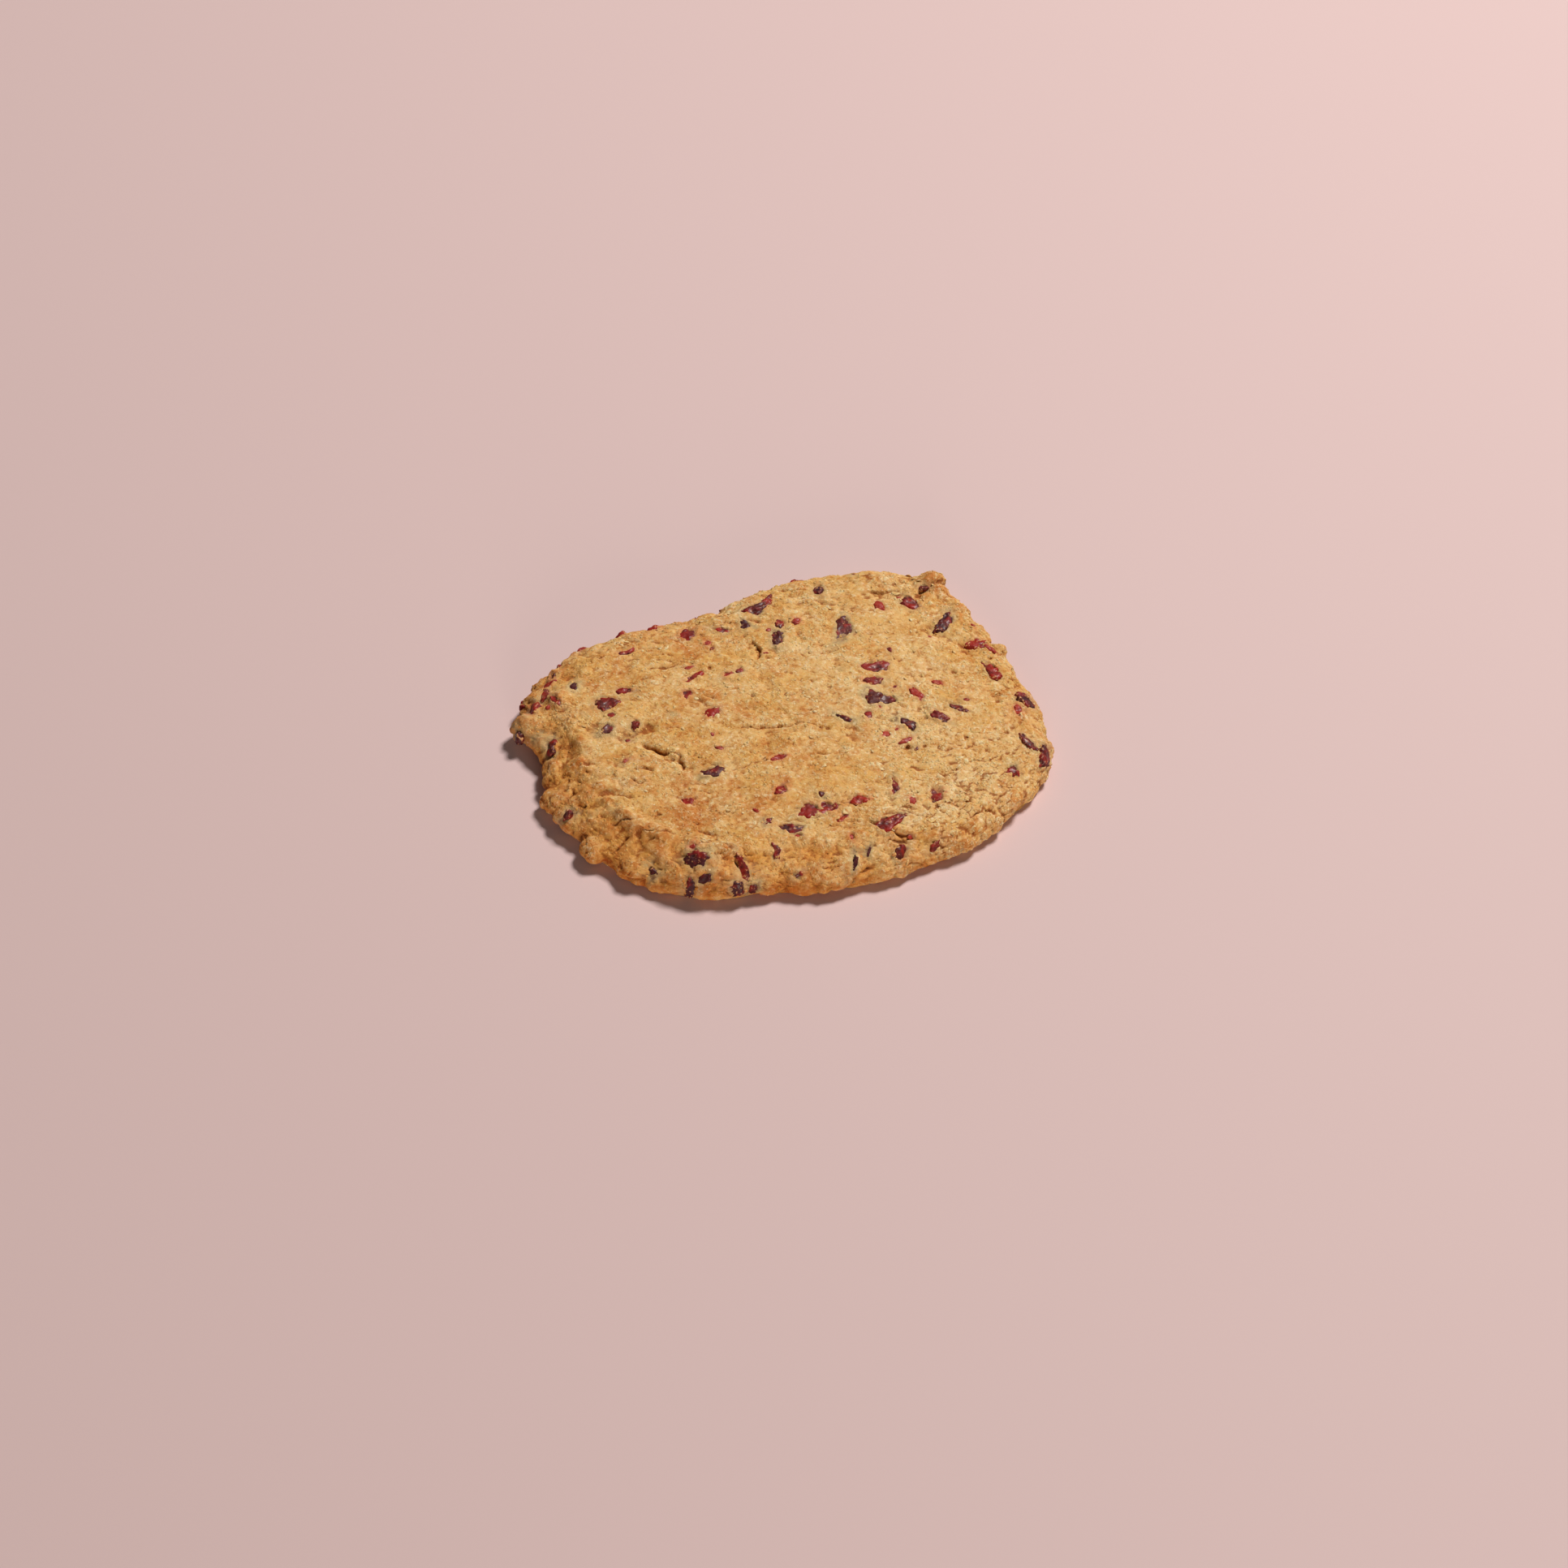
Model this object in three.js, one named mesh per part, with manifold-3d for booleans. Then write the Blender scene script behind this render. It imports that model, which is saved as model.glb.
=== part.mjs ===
// An oatmeal cranberry cookie: one baked solid with a lumpy rim, and the cranberry pieces
// that stand proud of its crust fused on. Millimetres, +Z up, +X along its longest way
// across, and the flat base on Z = 0 with the middle of its box above the origin.
import * as THREE from "three";
import { mergeVertices } from "three/addons/utils/BufferGeometryUtils.js";
import Module from "manifold-3d";

// The rim: distance from the middle to the widest outline, every 15 degrees from +X
const RIM_RADII = [
  62.5, 64.0, 68.0, 66.5, 59.5, 54.5, 49.0, 50.0, 56.0, 63.0, 67.0, 61.5,
  62.0, 61.5, 59.5, 56.5, 50.5, 49.0, 49.5, 51.0, 55.0, 58.5, 64.0, 64.0,
];
const RIM_HEIGHT = 3.3; // level of the widest outline
const BASE_INSET = 3.4; // how far the underside draws in from the rim
const CREST_THIN = 7.4; // level where the shoulder runs out onto the top, on the thin side
const CREST_THICK = 9.2; // and on the broken, sloping side
const CROWN_RISE = 1.2; // extra height in the middle of the top
const SHOULDER_THIN = 7; // width of the rounded shoulder on the thin side
const SHOULDER_BROKEN = 11; // and on the broken, sloping side
const BEVEL_THIN = 0.9; // 1 is a round shoulder, more is flatter like a bevel
const BEVEL_BROKEN = 1.35;
const SLOPE_SIDE = THREE.MathUtils.degToRad(205); // direction of the broken side
const TRIM = 0.7; // the underside is cut flat this far up

// The mesh of the body: a ball's faces, shared out between underside, wall and top
const BALL_DETAIL = 18;
const UNDER_SHARE = 0.06;
const WALL_SHARE = 0.36;

// Crust relief: depth and spacing of each scale, and the way the dough flowed
const FLOW = THREE.MathUtils.degToRad(-25);
const SWELL = { depth: 0.55, along: 26, across: 12 };
const CLUMP = { depth: 0.4, spacing: 6.5 };
const CRUMB = { depth: 0.35, spacing: 3.2 };
const WALL_CLUMP_THIN = 2.5; // how much deeper the clumps are on the thin side's wall
const WALL_CLUMP_BROKEN = 5.5; // and on the broken wall

// Folds of the crust: from, to, half width and height; a furrow's height is negative
const FOLDS = [
  [-37, -36, -33, -40, 8, 1.7],
  [-41, 15, -36, 15, 4.5, 1.2],
  [-40, 10, -33, 11, 3, -0.8],
  [-36, 6, -29, -5, 2.4, -0.8],
  [-13, 3, 9, -5, 2.6, -0.7],
  [2, 31, 2, 25, 2.2, -0.7],
  [11, -44, 6, -50, 3.2, -1.8],
  [34, -42, 27, -49, 2.6, -0.9],
  [37, 38, 48, 34, 2.6, -0.8],
  [47, 22, 53, 12, 4, -0.9],
  [-54, -4, -50, -6, 3, -1.1],
  [-47, -20, -42, -30, 3.2, -0.9],
];

// Knobs of dough that stick out past the rim: direction in degrees, level, radius, reach
const KNOBS = [
  { turn: 35, level: 6, radius: 6.5, proud: 3 },
  { turn: 9.5, level: 5.4, radius: 3.2, proud: 2.4 },
  { turn: 157, level: 4.4, radius: 5.5, proud: 3 },
  { turn: 179, level: 3.8, radius: 5.2, proud: 2 },
  { turn: 186, level: 3.4, radius: 4, proud: 1.6 },
  { turn: 197, level: 3.2, radius: 4.6, proud: 2 },
  { turn: 208, level: 3, radius: 5.2, proud: 1.6 },
  { turn: 225, level: 3, radius: 6, proud: 1 },
  { turn: 255, level: 3, radius: 6.5, proud: 1 },
];

// Cranberry pieces that show from a step away: x, y, length, width and turn in degrees
const BERRIES = [
  [7.5, 44, 9, 5, 0], [10.5, -39, 8, 4.5, 10], [24, 1.5, 7, 5, -20], [26.5, 29.5, 9, 3.5, 65],
  [51, 22.5, 8, 3, 32], [29, 12.5, 6, 4, -15], [56, 2, 7.5, 3, -75], [55.5, -29, 7, 3, 58],
  [-23.5, -8.5, 6, 3.5, -10], [57, 12.5, 5, 4, 0], [-7, -28.5, 5, 4, 30], [-38, -33.5, 5, 4, -20],
  [59, -10, 6, 3, -80], [-39.5, 23, 6, 3, 0], [-11.5, 40, 5, 3.5, 0], [46.5, 32, 4.5, 3.5, 70],
  [9.5, 30.5, 6, 2.5, 60], [-29, -39.5, 7.5, 2, 80], [-56.5, 30, 5, 3, 50], [25, 8, 5, 2.5, -40],
  [-41.5, -38, 5, 2.5, 45], [-31.5, -43, 4, 3, 30], [-2.5, -29, 4.5, 2.5, 0],
  [-13.5, -32.5, 4.5, 2.5, -35], [9, -47.5, 4.5, 2.5, 55], [-11, -20, 4.5, 2.5, 15],
  [24, -34, 3.5, 3, 45], [15.5, -28.5, 5, 2, 60], [6, -29.5, 5, 2, -20], [-17, 10.5, 4, 2.5, 10],
  [-16, 24.5, 5, 2, 10], [-33.5, 26, 4, 2.5, -10], [-61, 24, 4, 2.5, 80], [36, -9.5, 4.5, 2, -70],
  [27.5, -9.5, 4, 2.2, -65], [45.5, -32.5, 3.5, 2.5, 40], [-57, 16, 4.5, 1.8, 65],
  [42, -8.5, 4.5, 1.8, -40],
];
const BERRY_THICKNESS = 2.6;
const BERRY_PROUD = 0.8; // how far a piece stands above the crust
// Pieces on the far wall: how many, the arc they lie on in degrees, and their lengths
const FAR_BERRIES = { count: 9, from: 62, to: 150, length: [3, 6.5] };

// All the places above are measured from the middle of the rim. The middle of the finished
// outline's box is here, and the cookie is moved so that it lies over the origin.
const MIDDLE = new THREE.Vector3(-0.3, 1.3, 0);

const SEED = 41;
const CRUST_COLOUR = 0xd9a860;

const wasm = await Module();
wasm.setup();

// A repeatable draw between 0 and 1
function seededDraw(seed) {
  let state = seed;
  return () => {
    state = (state * 1664525 + 1013904223) % 4294967296;
    return state / 4294967296;
  };
}

function lattice(i, j, k) {
  const wave = Math.sin(i * 127.1 + j * 311.7 + k * 74.7 + SEED) * 43758.5453;
  return 2 * (wave - Math.floor(wave)) - 1;
}

const NEIGHBOURS = [-1, 0, 1].flatMap(
  (i) => [-1, 0, 1].flatMap((j) => [-1, 0, 1].map((k) => [i, j, k])));

// How near a point is to the middle of its clump: 1 there, 0 in the crease between clumps
function clumpiness(x, y, z) {
  const cell = [x, y, z].map(Math.floor);
  let nearest = Infinity;
  for (const [i, j, k] of NEIGHBOURS) {
    const [u, v, w] = [cell[0] + i, cell[1] + j, cell[2] + k];
    const gap = Math.hypot(
      u + 0.5 + 0.4 * lattice(u, v, w) - x,
      v + 0.5 + 0.4 * lattice(v, w, u) - y,
      w + 0.5 + 0.4 * lattice(w, u, v) - z);
    nearest = Math.min(nearest, gap);
  }
  return 1 - Math.min(1, 2 * nearest * nearest);
}

// A smooth uneven field between -1 and 1, with one value per unit cell
function unevenness(x, y, z) {
  const [i, j, k] = [Math.floor(x), Math.floor(y), Math.floor(z)];
  const [u, v, w] = [x - i, y - j, z - k].map((t) => THREE.MathUtils.smoothstep(t, 0, 1));
  const edge = (dj, dk) => THREE.MathUtils.lerp(
    lattice(i, j + dj, k + dk), lattice(i + 1, j + dj, k + dk), u);
  const face = (dk) => THREE.MathUtils.lerp(edge(0, dk), edge(1, dk), v);
  return THREE.MathUtils.lerp(face(0), face(1), w);
}

// Radius of the rim at an angle: a smooth closed curve through RIM_RADII
function rimRadius(angle) {
  const count = RIM_RADII.length;
  const place = THREE.MathUtils.euclideanModulo(angle / (2 * Math.PI), 1) * count;
  const step = Math.floor(place) % count;
  const t = place - Math.floor(place);
  const [a, b, c, d] = [-1, 0, 1, 2].map((k) => RIM_RADII[(step + k + count) % count]);
  return b + 0.5 * t * (c - a + t * (2 * a - 5 * b + 4 * c - d + t * (3 * (b - c) + d - a)));
}

// Blend from the thin side's value to the broken side's
function roundTheRim(angle, thin, broken) {
  return THREE.MathUtils.lerp(thin, broken, 0.5 + 0.5 * Math.cos(angle - SLOPE_SIDE));
}

function shoulderWidth(angle) {
  return roundTheRim(angle, SHOULDER_THIN, SHOULDER_BROKEN);
}

function crestHeight(angle) {
  return roundTheRim(angle, CREST_THIN, CREST_THICK);
}

// Height that the folds add at a place on the crust
function foldHeight(x, y) {
  let height = 0;
  for (const [x0, y0, x1, y1, halfWidth, rise] of FOLDS) {
    const line = new THREE.Line3(new THREE.Vector3(x0, y0, 0), new THREE.Vector3(x1, y1, 0));
    const place = new THREE.Vector3(x, y, 0);
    const gap = line.closestPointToPoint(place, true, new THREE.Vector3()).distanceTo(place);
    height += rise * (1 - THREE.MathUtils.smoothstep(gap, 0, halfWidth));
  }
  return height;
}

// How far the knobs push the wall out at a point
function knobReach(point) {
  let reach = 0;
  for (const { turn, level, radius, proud } of KNOBS) {
    const angle = THREE.MathUtils.degToRad(turn);
    const rim = rimRadius(angle);
    const middle = new THREE.Vector3(rim * Math.cos(angle), rim * Math.sin(angle), level);
    reach += proud * (1 - THREE.MathUtils.smoothstep(middle.distanceTo(point) / radius, 0.2, 1));
  }
  return reach;
}

// How far the crust stands out of the plain form at a point; wallness is 1 on the rim and
// 0 on the top
function relief(point, angle, wallness) {
  const along = point.x * Math.cos(FLOW) + point.y * Math.sin(FLOW);
  const across = point.y * Math.cos(FLOW) - point.x * Math.sin(FLOW);
  const swell = unevenness(along / SWELL.along, across / SWELL.across, point.z / SWELL.across);
  const clump = clumpiness(...point.clone().divideScalar(CLUMP.spacing).toArray()) - 0.6;
  const crumb = unevenness(...point.clone().divideScalar(CRUMB.spacing).toArray());
  const wallDepth = roundTheRim(angle, WALL_CLUMP_THIN, WALL_CLUMP_BROKEN);
  const clumpDepth = CLUMP.depth * THREE.MathUtils.lerp(1, wallDepth, wallness);
  return SWELL.depth * swell + clumpDepth * clump + CRUMB.depth * crumb;
}

// A point of the plain form on the wall: lean runs from -90 degrees at the underside,
// through 0 at the rim, to 90 where the shoulder meets the top
function wallPoint(angle, lean) {
  const bevel = lean < 0 ? 1 : roundTheRim(angle, BEVEL_THIN, BEVEL_BROKEN);
  const width = lean < 0 ? BASE_INSET : shoulderWidth(angle);
  const span = lean < 0 ? RIM_HEIGHT + TRIM : crestHeight(angle) - RIM_HEIGHT;
  const radius = rimRadius(angle) - width * (1 - Math.cos(lean) ** bevel);
  const height = RIM_HEIGHT + span * Math.sign(lean) * Math.abs(Math.sin(lean)) ** bevel;
  return new THREE.Vector3(radius * Math.cos(angle), radius * Math.sin(angle), height);
}

function topPoint(angle, share) {
  const radius = share * (rimRadius(angle) - shoulderWidth(angle));
  const middle = (CREST_THIN + CREST_THICK) / 2 + CROWN_RISE;
  const height = THREE.MathUtils.lerp(middle, crestHeight(angle), share * share);
  return new THREE.Vector3(radius * Math.cos(angle), radius * Math.sin(angle), height);
}

function outwardAt(angle, lean) {
  const level = Math.cos(lean);
  return new THREE.Vector3(level * Math.cos(angle), level * Math.sin(angle), Math.sin(lean));
}

// The wall with its relief, knobs and folds
function wallCrust(angle, lean) {
  const point = wallPoint(angle, lean);
  const fold = Math.max(0, Math.sin(lean)) * foldHeight(point.x, point.y);
  const out = relief(point, angle, Math.cos(lean)) + knobReach(point) + fold;
  return point.addScaledVector(outwardAt(angle, lean), out);
}

// The top with its relief and folds
function topCrust(angle, share) {
  const point = topPoint(angle, share);
  point.z += relief(point, angle, 0) + foldHeight(point.x, point.y);
  return point;
}

// Where a direction of the ball lands on the cookie
function crustPoint(direction) {
  const angle = Math.atan2(direction.y, direction.x);
  const rise = (1 + direction.z) / 2;
  const wallTop = UNDER_SHARE + WALL_SHARE;
  if (rise < UNDER_SHARE) {
    const inward = Math.sqrt(rise / UNDER_SHARE);
    return wallPoint(angle, -Math.PI / 2).multiply(new THREE.Vector3(inward, inward, 1));
  }
  if (rise < wallTop) {
    return wallCrust(angle, Math.PI * ((rise - UNDER_SHARE) / WALL_SHARE - 0.5));
  }
  return topCrust(angle, Math.sqrt((1 - rise) / (1 - wallTop)));
}

// The crust at a place seen from above, and how steeply it leans there
function crustAt(x, y) {
  const angle = Math.atan2(y, x);
  const inset = Math.max(0, rimRadius(angle) - Math.hypot(x, y));
  const width = shoulderWidth(angle);
  if (inset >= width) {
    const share = Math.hypot(x, y) / (rimRadius(angle) - width);
    return { angle, lean: Math.PI / 2, point: topCrust(angle, share) };
  }
  const bevel = roundTheRim(angle, BEVEL_THIN, BEVEL_BROKEN);
  const lean = Math.acos((1 - inset / width) ** (1 / bevel));
  return { angle, lean, point: wallCrust(angle, lean) };
}

// Move every vertex of a unit ball's mesh; place puts the new position in its second argument
function reshape(geometry, place) {
  const positions = geometry.getAttribute("position");
  const vertex = new THREE.Vector3();
  for (let i = 0; i < positions.count; i += 1) {
    place(vertex.fromBufferAttribute(positions, i).normalize(), vertex);
    positions.setXYZ(i, ...vertex.toArray());
  }
  return geometry;
}

function toSolid(geometry) {
  geometry.deleteAttribute("normal");
  geometry.deleteAttribute("uv");
  const merged = mergeVertices(geometry);
  return new wasm.Manifold(new wasm.Mesh({
    numProp: 3,
    vertProperties: new Float32Array(merged.getAttribute("position").array),
    triVerts: new Uint32Array(merged.getIndex().array),
  }));
}

function toGeometry(solid) {
  const { vertProperties, triVerts } = solid.getMesh();
  const geometry = new THREE.BufferGeometry();
  geometry.setAttribute("position", new THREE.BufferAttribute(vertProperties, 3));
  geometry.setIndex(new THREE.BufferAttribute(triVerts, 1));
  geometry.computeVertexNormals();
  return geometry;
}

function body() {
  const ball = new THREE.IcosahedronGeometry(1, BALL_DETAIL);
  return toSolid(reshape(ball, (direction, vertex) => vertex.copy(crustPoint(direction))));
}

// A low pebble of cranberry, sunk into the crust
function berry({ angle, lean, point }, length, width, turn) {
  const pebble = new THREE.OctahedronGeometry(1, 1);
  pebble.scale(length / 2, width / 2, BERRY_THICKNESS / 2);
  pebble.rotateZ(THREE.MathUtils.degToRad(turn));
  const outward = outwardAt(angle, lean);
  const tilt = new THREE.Quaternion().setFromUnitVectors(new THREE.Vector3(0, 0, 1), outward);
  pebble.applyQuaternion(tilt);
  const centre = point.addScaledVector(outward, BERRY_PROUD - BERRY_THICKNESS / 2);
  return toSolid(pebble.translate(...centre.toArray()));
}

function berries() {
  const shown = BERRIES.map(([x, y, length, width, turn]) => (
    berry(crustAt(x, y), length, width, turn)));
  const draw = seededDraw(SEED);
  const { count, from, to, length: [shortest, longest] } = FAR_BERRIES;
  for (let i = 0; i < count; i += 1) {
    const angle = THREE.MathUtils.degToRad(THREE.MathUtils.lerp(from, to, (i + draw()) / count));
    const lean = THREE.MathUtils.degToRad(60 * draw());
    const length = THREE.MathUtils.lerp(shortest, longest, draw());
    const place = { angle, lean, point: wallCrust(angle, lean) };
    shown.push(berry(place, length, length / 2, THREE.MathUtils.radToDeg(angle) + 90));
  }
  return shown;
}

// What is cut away below the underside
function floorBlock() {
  const side = 200;
  return toSolid(new THREE.BoxGeometry(side, side, side).translate(0, 0, -side / 2));
}

const baked = berries().reduce((whole, piece) => whole.add(piece), body());
const crust = new THREE.MeshStandardMaterial({ color: CRUST_COLOUR, roughness: 0.85, metalness: 0 });
const cookie = new THREE.Mesh(toGeometry(baked.subtract(floorBlock())), crust);
cookie.position.copy(MIDDLE).negate();
cookie.name = "cookie";

const part = new THREE.Group();
part.add(cookie);
export default part;
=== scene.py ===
"""An oatmeal cranberry cookie: a baked dough with its crags, creases and pits, cranberry pieces
sunk in it, loose crumbs and oat flakes on its crust.

Places on the cookie are in millimetres from the middle of its rim, +X along its longest way
across and +Z up, and become metres over the frame's origin when a mesh is made.
"""

import math

import bpy
import numpy as np
from mathutils import Matrix, Vector


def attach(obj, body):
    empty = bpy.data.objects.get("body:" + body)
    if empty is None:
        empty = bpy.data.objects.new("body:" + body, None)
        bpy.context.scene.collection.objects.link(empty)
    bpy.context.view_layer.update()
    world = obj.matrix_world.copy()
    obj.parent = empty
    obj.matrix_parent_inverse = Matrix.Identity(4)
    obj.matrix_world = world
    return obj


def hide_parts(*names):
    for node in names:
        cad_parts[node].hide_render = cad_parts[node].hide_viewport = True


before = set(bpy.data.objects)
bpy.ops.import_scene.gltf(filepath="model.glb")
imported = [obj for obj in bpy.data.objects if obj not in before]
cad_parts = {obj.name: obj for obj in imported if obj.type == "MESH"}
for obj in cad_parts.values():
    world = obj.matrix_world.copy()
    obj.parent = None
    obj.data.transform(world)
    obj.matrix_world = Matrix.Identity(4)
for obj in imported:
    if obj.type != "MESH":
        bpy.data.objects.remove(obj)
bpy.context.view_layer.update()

MM = 0.001
SEED = 41
UP = np.array([0.0, 0.0, 1.0])

# ---------------------------------------------------------------- the cookie's plain form

# Distance from the middle to the widest outline, every 15 degrees from +X
RIM_RADII = np.array([
    62.5, 64.0, 68.0, 66.5, 59.5, 54.5, 49.0, 50.0, 56.0, 63.0, 67.0, 61.5,
    62.0, 61.5, 59.5, 56.5, 50.5, 49.0, 49.5, 51.0, 55.0, 58.5, 64.0, 64.0,
])
RIM_HEIGHT = 3.3  # level of the widest outline
CREST_THIN, CREST_THICK = 7.4, 9.2  # level where the shoulder runs out onto the top
CROWN_RISE = 1.2  # extra height in the middle of the top
SHOULDER_THIN, SHOULDER_BROKEN = 7.0, 11.0  # width of the rounded shoulder
BEVEL_THIN, BEVEL_BROKEN = 0.9, 1.35  # 1 is a round shoulder, more is flatter like a bevel
BASE_INSET = 3.4  # how far the underside draws in from the rim
TRIM = 0.7  # the underside is cut flat this far up
SLOPE_SIDE = math.radians(205)  # direction of the broken, sloping side, which is also the thick one
LOWEST_LEAN = -math.asin(RIM_HEIGHT / (RIM_HEIGHT + TRIM))  # where the wall meets the floor
MIDDLE = np.array([-0.3, 1.3, 0.0])  # what lies over the frame's origin

# The dough's mesh: how finely a ball is divided, and how its faces are shared out
DOUGH_FREQUENCY = 98
UNDER_SHARE = 0.13
WALL_SHARE = 0.42
JUST_INSIDE = 0.999999  # a share of the way out to the shoulder that still counts as the top

# Large relief, nearly as in the frame: the way the dough flowed, then depths and spacings
FLOW = math.radians(-25)
SWELL_DEPTH, SWELL_ALONG, SWELL_ACROSS = 0.55, 26.0, 12.0
CLUMP_DEPTH, CLUMP_SPACING = 0.4, 6.5
CRUMB_DEPTH, CRUMB_SPACING = 0.35, 3.2
WALL_CLUMP_THIN, WALL_CLUMP_BROKEN = 2.5, 3.4

# Folds: from, to, half width and height; a furrow's height is negative
FOLDS = [
    (-37, -36, -33, -40, 8, 1.7),
    (-41, 15, -36, 15, 4.5, 1.2),
    (-40, 10, -33, 11, 3, -0.8),
    (-36, 6, -29, -5, 2.4, -0.8),
    (-13, 3, 9, -5, 2.6, -0.15),
    (2, 31, 2, 25, 2.2, -0.7),
    (11, -44, 6, -50, 3.2, -1.8),
    (34, -42, 27, -49, 2.6, -0.9),
    (37, 38, 48, 34, 2.6, -0.8),
    (47, 22, 53, 12, 4, -0.9),
    (-54, -4, -50, -6, 3, -1.1),
    (-47, -20, -42, -30, 3.2, -0.9),
]

# Knobs that stick out of the wall: direction in degrees, level, radius and reach
KNOBS = [
    (35, 6, 6.5, 3), (9.5, 5.4, 3.2, 2.4), (157, 4.4, 5.5, 3), (179, 3.8, 5.2, 2),
    (186, 3.4, 4, 1.6), (197, 3.2, 4.6, 2), (208, 3, 5.2, 1.6), (225, 3, 6, 1),
    (255, 3, 6.5, 1),
]

# ---------------------------------------------------------------- marks on the crust

# Cracks: half width, depth, and the points they pass
CRACKS = [
    (0.45, 0.9, [(2.5, 31.5), (3.3, 28.5), (2, 25.2)]),
    (0.3, 0.6, [(-13, 3.2), (-8, 1.6), (-3, 0.3), (3, -0.8), (8, -4.8)]),
    (0.45, 0.9, [(-36, 6.2), (-32.5, 2.3), (-29.6, -0.8), (-30.5, -5.6)]),
    (0.4, 0.8, [(-42.5, -34), (-38, -31), (-35, -29.8), (-30.5, -32.6), (-29.4, -38), (-29.8, -43)]),
    (0.4, 1.2, [(5.2, -37), (7.7, -40.2), (10.5, -42.2), (13.4, -44.3)]),
    (0.4, 0.8, [(6.3, -49.5), (8.4, -47.2)]), (0.35, 0.7, [(17.6, -46.5), (19.9, -47.6)]),
    (0.4, 0.9, [(29.6, -43.2), (33.7, -40.6), (36.7, -42.5)]), (0.35, 0.7, [(20.8, -43.6), (19.3, -45.8)]),
    (0.3, 0.6, [(30.8, -36.8), (32.1, -38.6)]), (0.3, 0.6, [(26.1, -38), (27, -39.8)]),
    (0.35, 0.7, [(-4.4, -46.8), (-4.1, -49.1)]), (0.35, 0.7, [(-10.7, -44.5), (-8.5, -46)]),
    (0.35, 0.7, [(38, 38.4), (43, 37.6), (47, 37)]),
    (0.75, 1.7, [(49.6, 34), (52.4, 35.8), (55.2, 36.3), (59, 36.6)]),
    (0.35, 0.6, [(45, 17.2), (47, 15.3), (50, 16.2)]),
    (0.4, 0.8, [(-53, -15.5), (-50, -16), (-47.5, -17.5)]),
    (0.4, 0.8, [(-55, -21.5), (-52.5, -21), (-50, -19.5)]),
    (0.4, 0.8, [(-43, -31.5), (-42.3, -34.5)]),
    (0.3, 0.5, [(-20, -10), (-14, -9.4), (-9, -10)]),
    (0.35, 0.6, [(-47, -24), (-43, -23.4), (-40, -25)]),
    (0.3, 0.5, [(21, -38), (26, -37), (31, -39)]),
    (0.3, 0.5, [(36, -26), (41, -27.5), (44, -26.5)]),
    (0.3, 0.5, [(12, 22), (17, 20.6), (23, 21)]),
    (0.3, 0.45, [(-26, 31), (-18, 30.2), (-11, 31.4)]),
    (0.3, 0.45, [(30, -20), (36, -22), (42, -21.5)]),
]
SMALL_CRACKS = 230
# The stretch at the front right where the crust is crackled: x, y and radius
CRACKLED = (34, -38, 24)
# Pits: place, radius and depth
PITS = [
    (7, 38.4, 0.6, 0.7), (2, 34.4, 0.5, 0.6), (-11, 26.2, 0.6, 0.6), (4, 24.2, 0.6, 0.7),
    (10.8, 12.2, 0.5, 0.9), (3, 10.2, 0.4, 0.6), (-1.8, 5.7, 0.4, 0.5), (14.8, 30.2, 0.7, 0.7),
    (26.3, 36, 0.6, 0.8), (31, 33.8, 0.6, 0.7), (-51.5, 5, 0.8, 0.6), (-48, -21, 0.7, 0.8),
    (-34, -23.6, 0.6, 0.6), (-31.5, -15.4, 0.5, 0.6), (28, -17.8, 0.6, 0.7), (39, -18.3, 0.6, 0.8),
    (38.5, -21.3, 0.5, 0.7), (33.3, -21.3, 0.5, 0.6), (31, -19.8, 0.5, 0.6), (31, -38.2, 0.6, 0.7),
    (52, -8.8, 0.8, 0.5), (51.5, -18.6, 0.8, 0.5), (42, -24, 0.6, 0.7), (49.5, -19.6, 0.5, 0.6),
    (1.5, -0.4, 0.5, 0.8), (-3, 0.3, 0.5, 0.7), (8, -4.4, 0.5, 0.8), (24, -16.8, 0.7, 0.9),
    (46, 4.5, 0.8, 0.4), (-5, 12.6, 0.6, 0.6),
]
SMALL_PITS = 80

# Toasted tips, most of them along the broken side's crest: x, y, radius and rise
TIPS = [
    (-43.8, 12.7, 1.8, 0.7), (-50, 13, 1.9, 0.8), (-54.5, -4, 2.1, 1.1), (-46, -0.5, 1.3, 0.6),
    (-47, -20, 2.0, 1.0), (-44.5, -26.8, 2.6, 0.8), (-36.5, -28.5, 2.4, 0.5), (-53, 6.5, 1.8, 0.5),
    (-51, -9, 2.0, 0.6), (-58, 20, 1.8, 0.5), (-49.5, -14, 1.4, 0.5), (-32, 19, 1.8, 0.4),
    (-58, 11, 1.8, 0.6), (58, 27, 2.0, 0.6), (55.6, 39, 1.6, 0.4), (56, 33, 1.8, 0.5), (-61, 27, 1.8, 0.5),
]
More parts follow.
